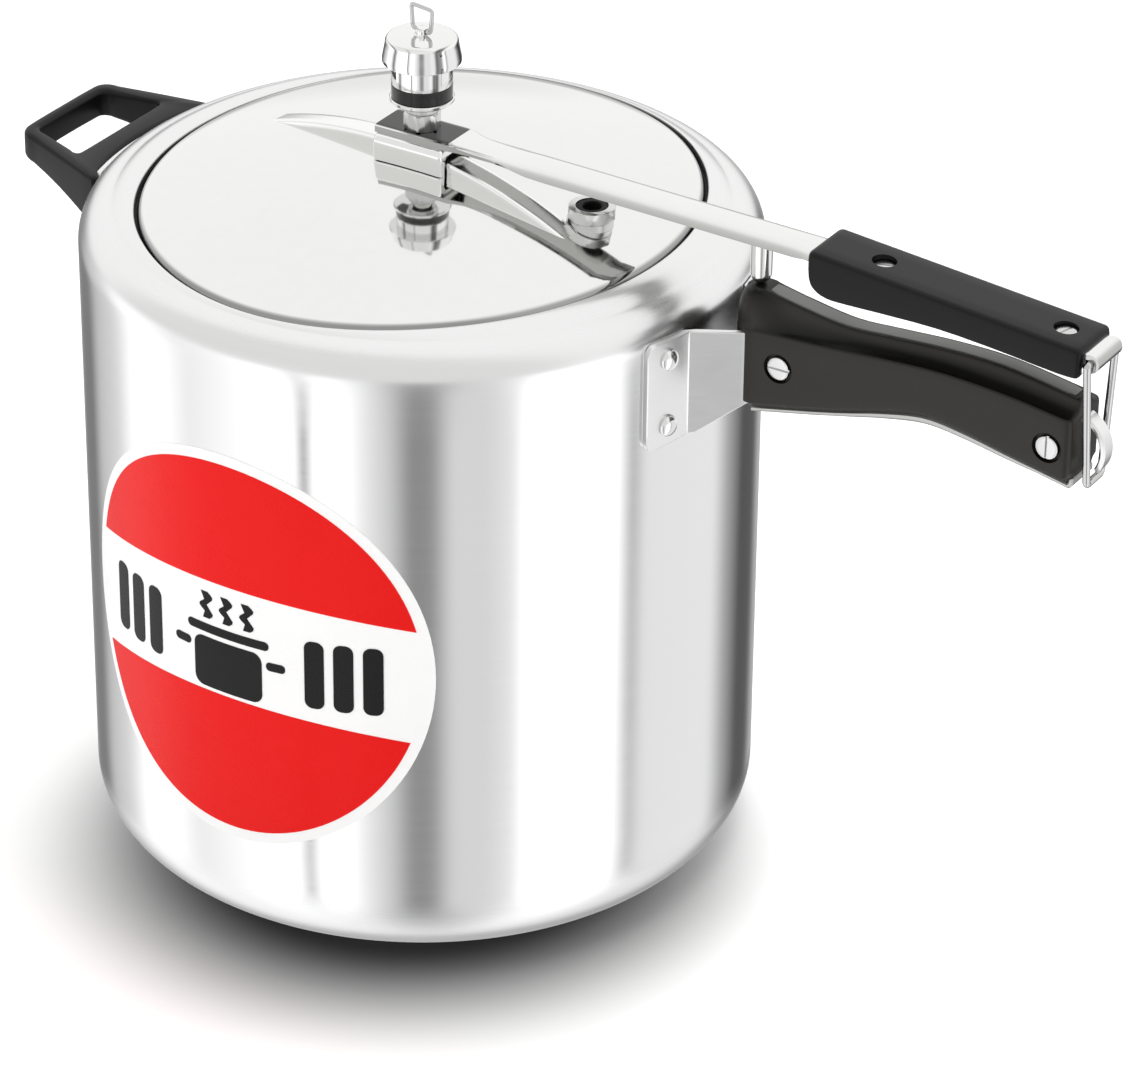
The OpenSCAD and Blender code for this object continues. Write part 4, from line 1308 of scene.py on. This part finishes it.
world = bpy.data.worlds.new("studio")
bpy.context.scene.world = world
world.use_nodes = True
tree = world.node_tree
PANELS = ((-180, 0.74), (-170, 1.15), (-152, 1.10), (-142, 0.88), (-122, 1.05), (-110, 1.25),
          (-100, 1.25), (-97, 0.08), (-94, 1.25), (-84, 1.25), (-76, 0.85), (-68, 0.62),
          (-61, 0.25), (-54, 0.27), (-47, 0.70), (-36, 0.68), (-27, 0.80), (-21, 1.30),
          (11, 1.30), (18, 0.42), (24, 0.80), (60, 0.82), (69, 0.40), (82, 0.08), (96, 0.10),
          (106, 0.40), (128, 0.48), (140, 0.20), (154, 0.18), (163, 0.52), (176, 0.66),
          (180, 0.74))
looking = split_up(tree, "TexCoord", "Generated")
turns = sums(tree, "DIVIDE", sums(tree, "ARCTAN2", looking["Y"], looking["X"]), math.tau)
panels = grey_ramp(tree, sums(tree, "ADD", turns, 0.5),
                   [((degrees + 180) / 360, level) for degrees, level in PANELS])
upper_sky = mix(tree, passing(tree, looking["Y"], 0.05, -0.35),
                (0.92, 0.92, 0.91), (0.74, 0.74, 0.73))
sky = mix(tree, passing(tree, looking["Z"], -0.10, 0.12), panels, upper_sky)
glossy = node(tree, "LightPath").outputs["Is Glossy Ray"]
strength = node(tree, "MapRange", {"Value": glossy, "To Min": 0.98, "To Max": 1.16})
background = tree.nodes["Background"].inputs
feed(tree, background["Color"], sky)
feed(tree, background["Strength"], strength.outputs["Result"])


def soft_light(name, location, size, power):
    """A square soft box turned towards the pot."""
    data = bpy.data.lights.new(name, "AREA")
    data.shape = "RECTANGLE"
    data.size, data.size_y = size
    data.energy = power
    lamp = bpy.data.objects.new(name, data)
    bpy.context.scene.collection.objects.link(lamp)
    direction = Vector(location) - Vector((0, 0, 0.14))
    lamp.matrix_world = (Matrix.Translation(location)
                         @ direction.to_track_quat("Z", "Y").to_matrix().to_4x4())
    lamp.visible_glossy = False


soft_light("top_box", (0.1, 0.5, 1.8), (1.2, 1.0), 17)
soft_light("left_box", (-1.1, -1.5, 1.2), (1.2, 1.6), 11)
soft_light("right_box", (1.8, 0.3, 1.2), (1.0, 1.5), 5)

camera_data = bpy.data.cameras.new("camera")
camera_data.sensor_width = 36.0
camera_data.lens = 169.94
camera_data.clip_end = 50.0
camera = bpy.data.objects.new("camera", camera_data)
bpy.context.scene.collection.objects.link(camera)
camera.matrix_world = (Matrix.Translation((0.9742, -1.4718, 1.1179))
                       @ Matrix.Rotation(math.radians(31.779), 4, "Z")
                       @ Matrix.Rotation(math.radians(60.37), 4, "X")
                       @ Matrix.Rotation(math.radians(0.598), 4, "Z"))
bpy.context.scene.camera = camera
bpy.context.scene.view_settings.view_transform = "Standard"
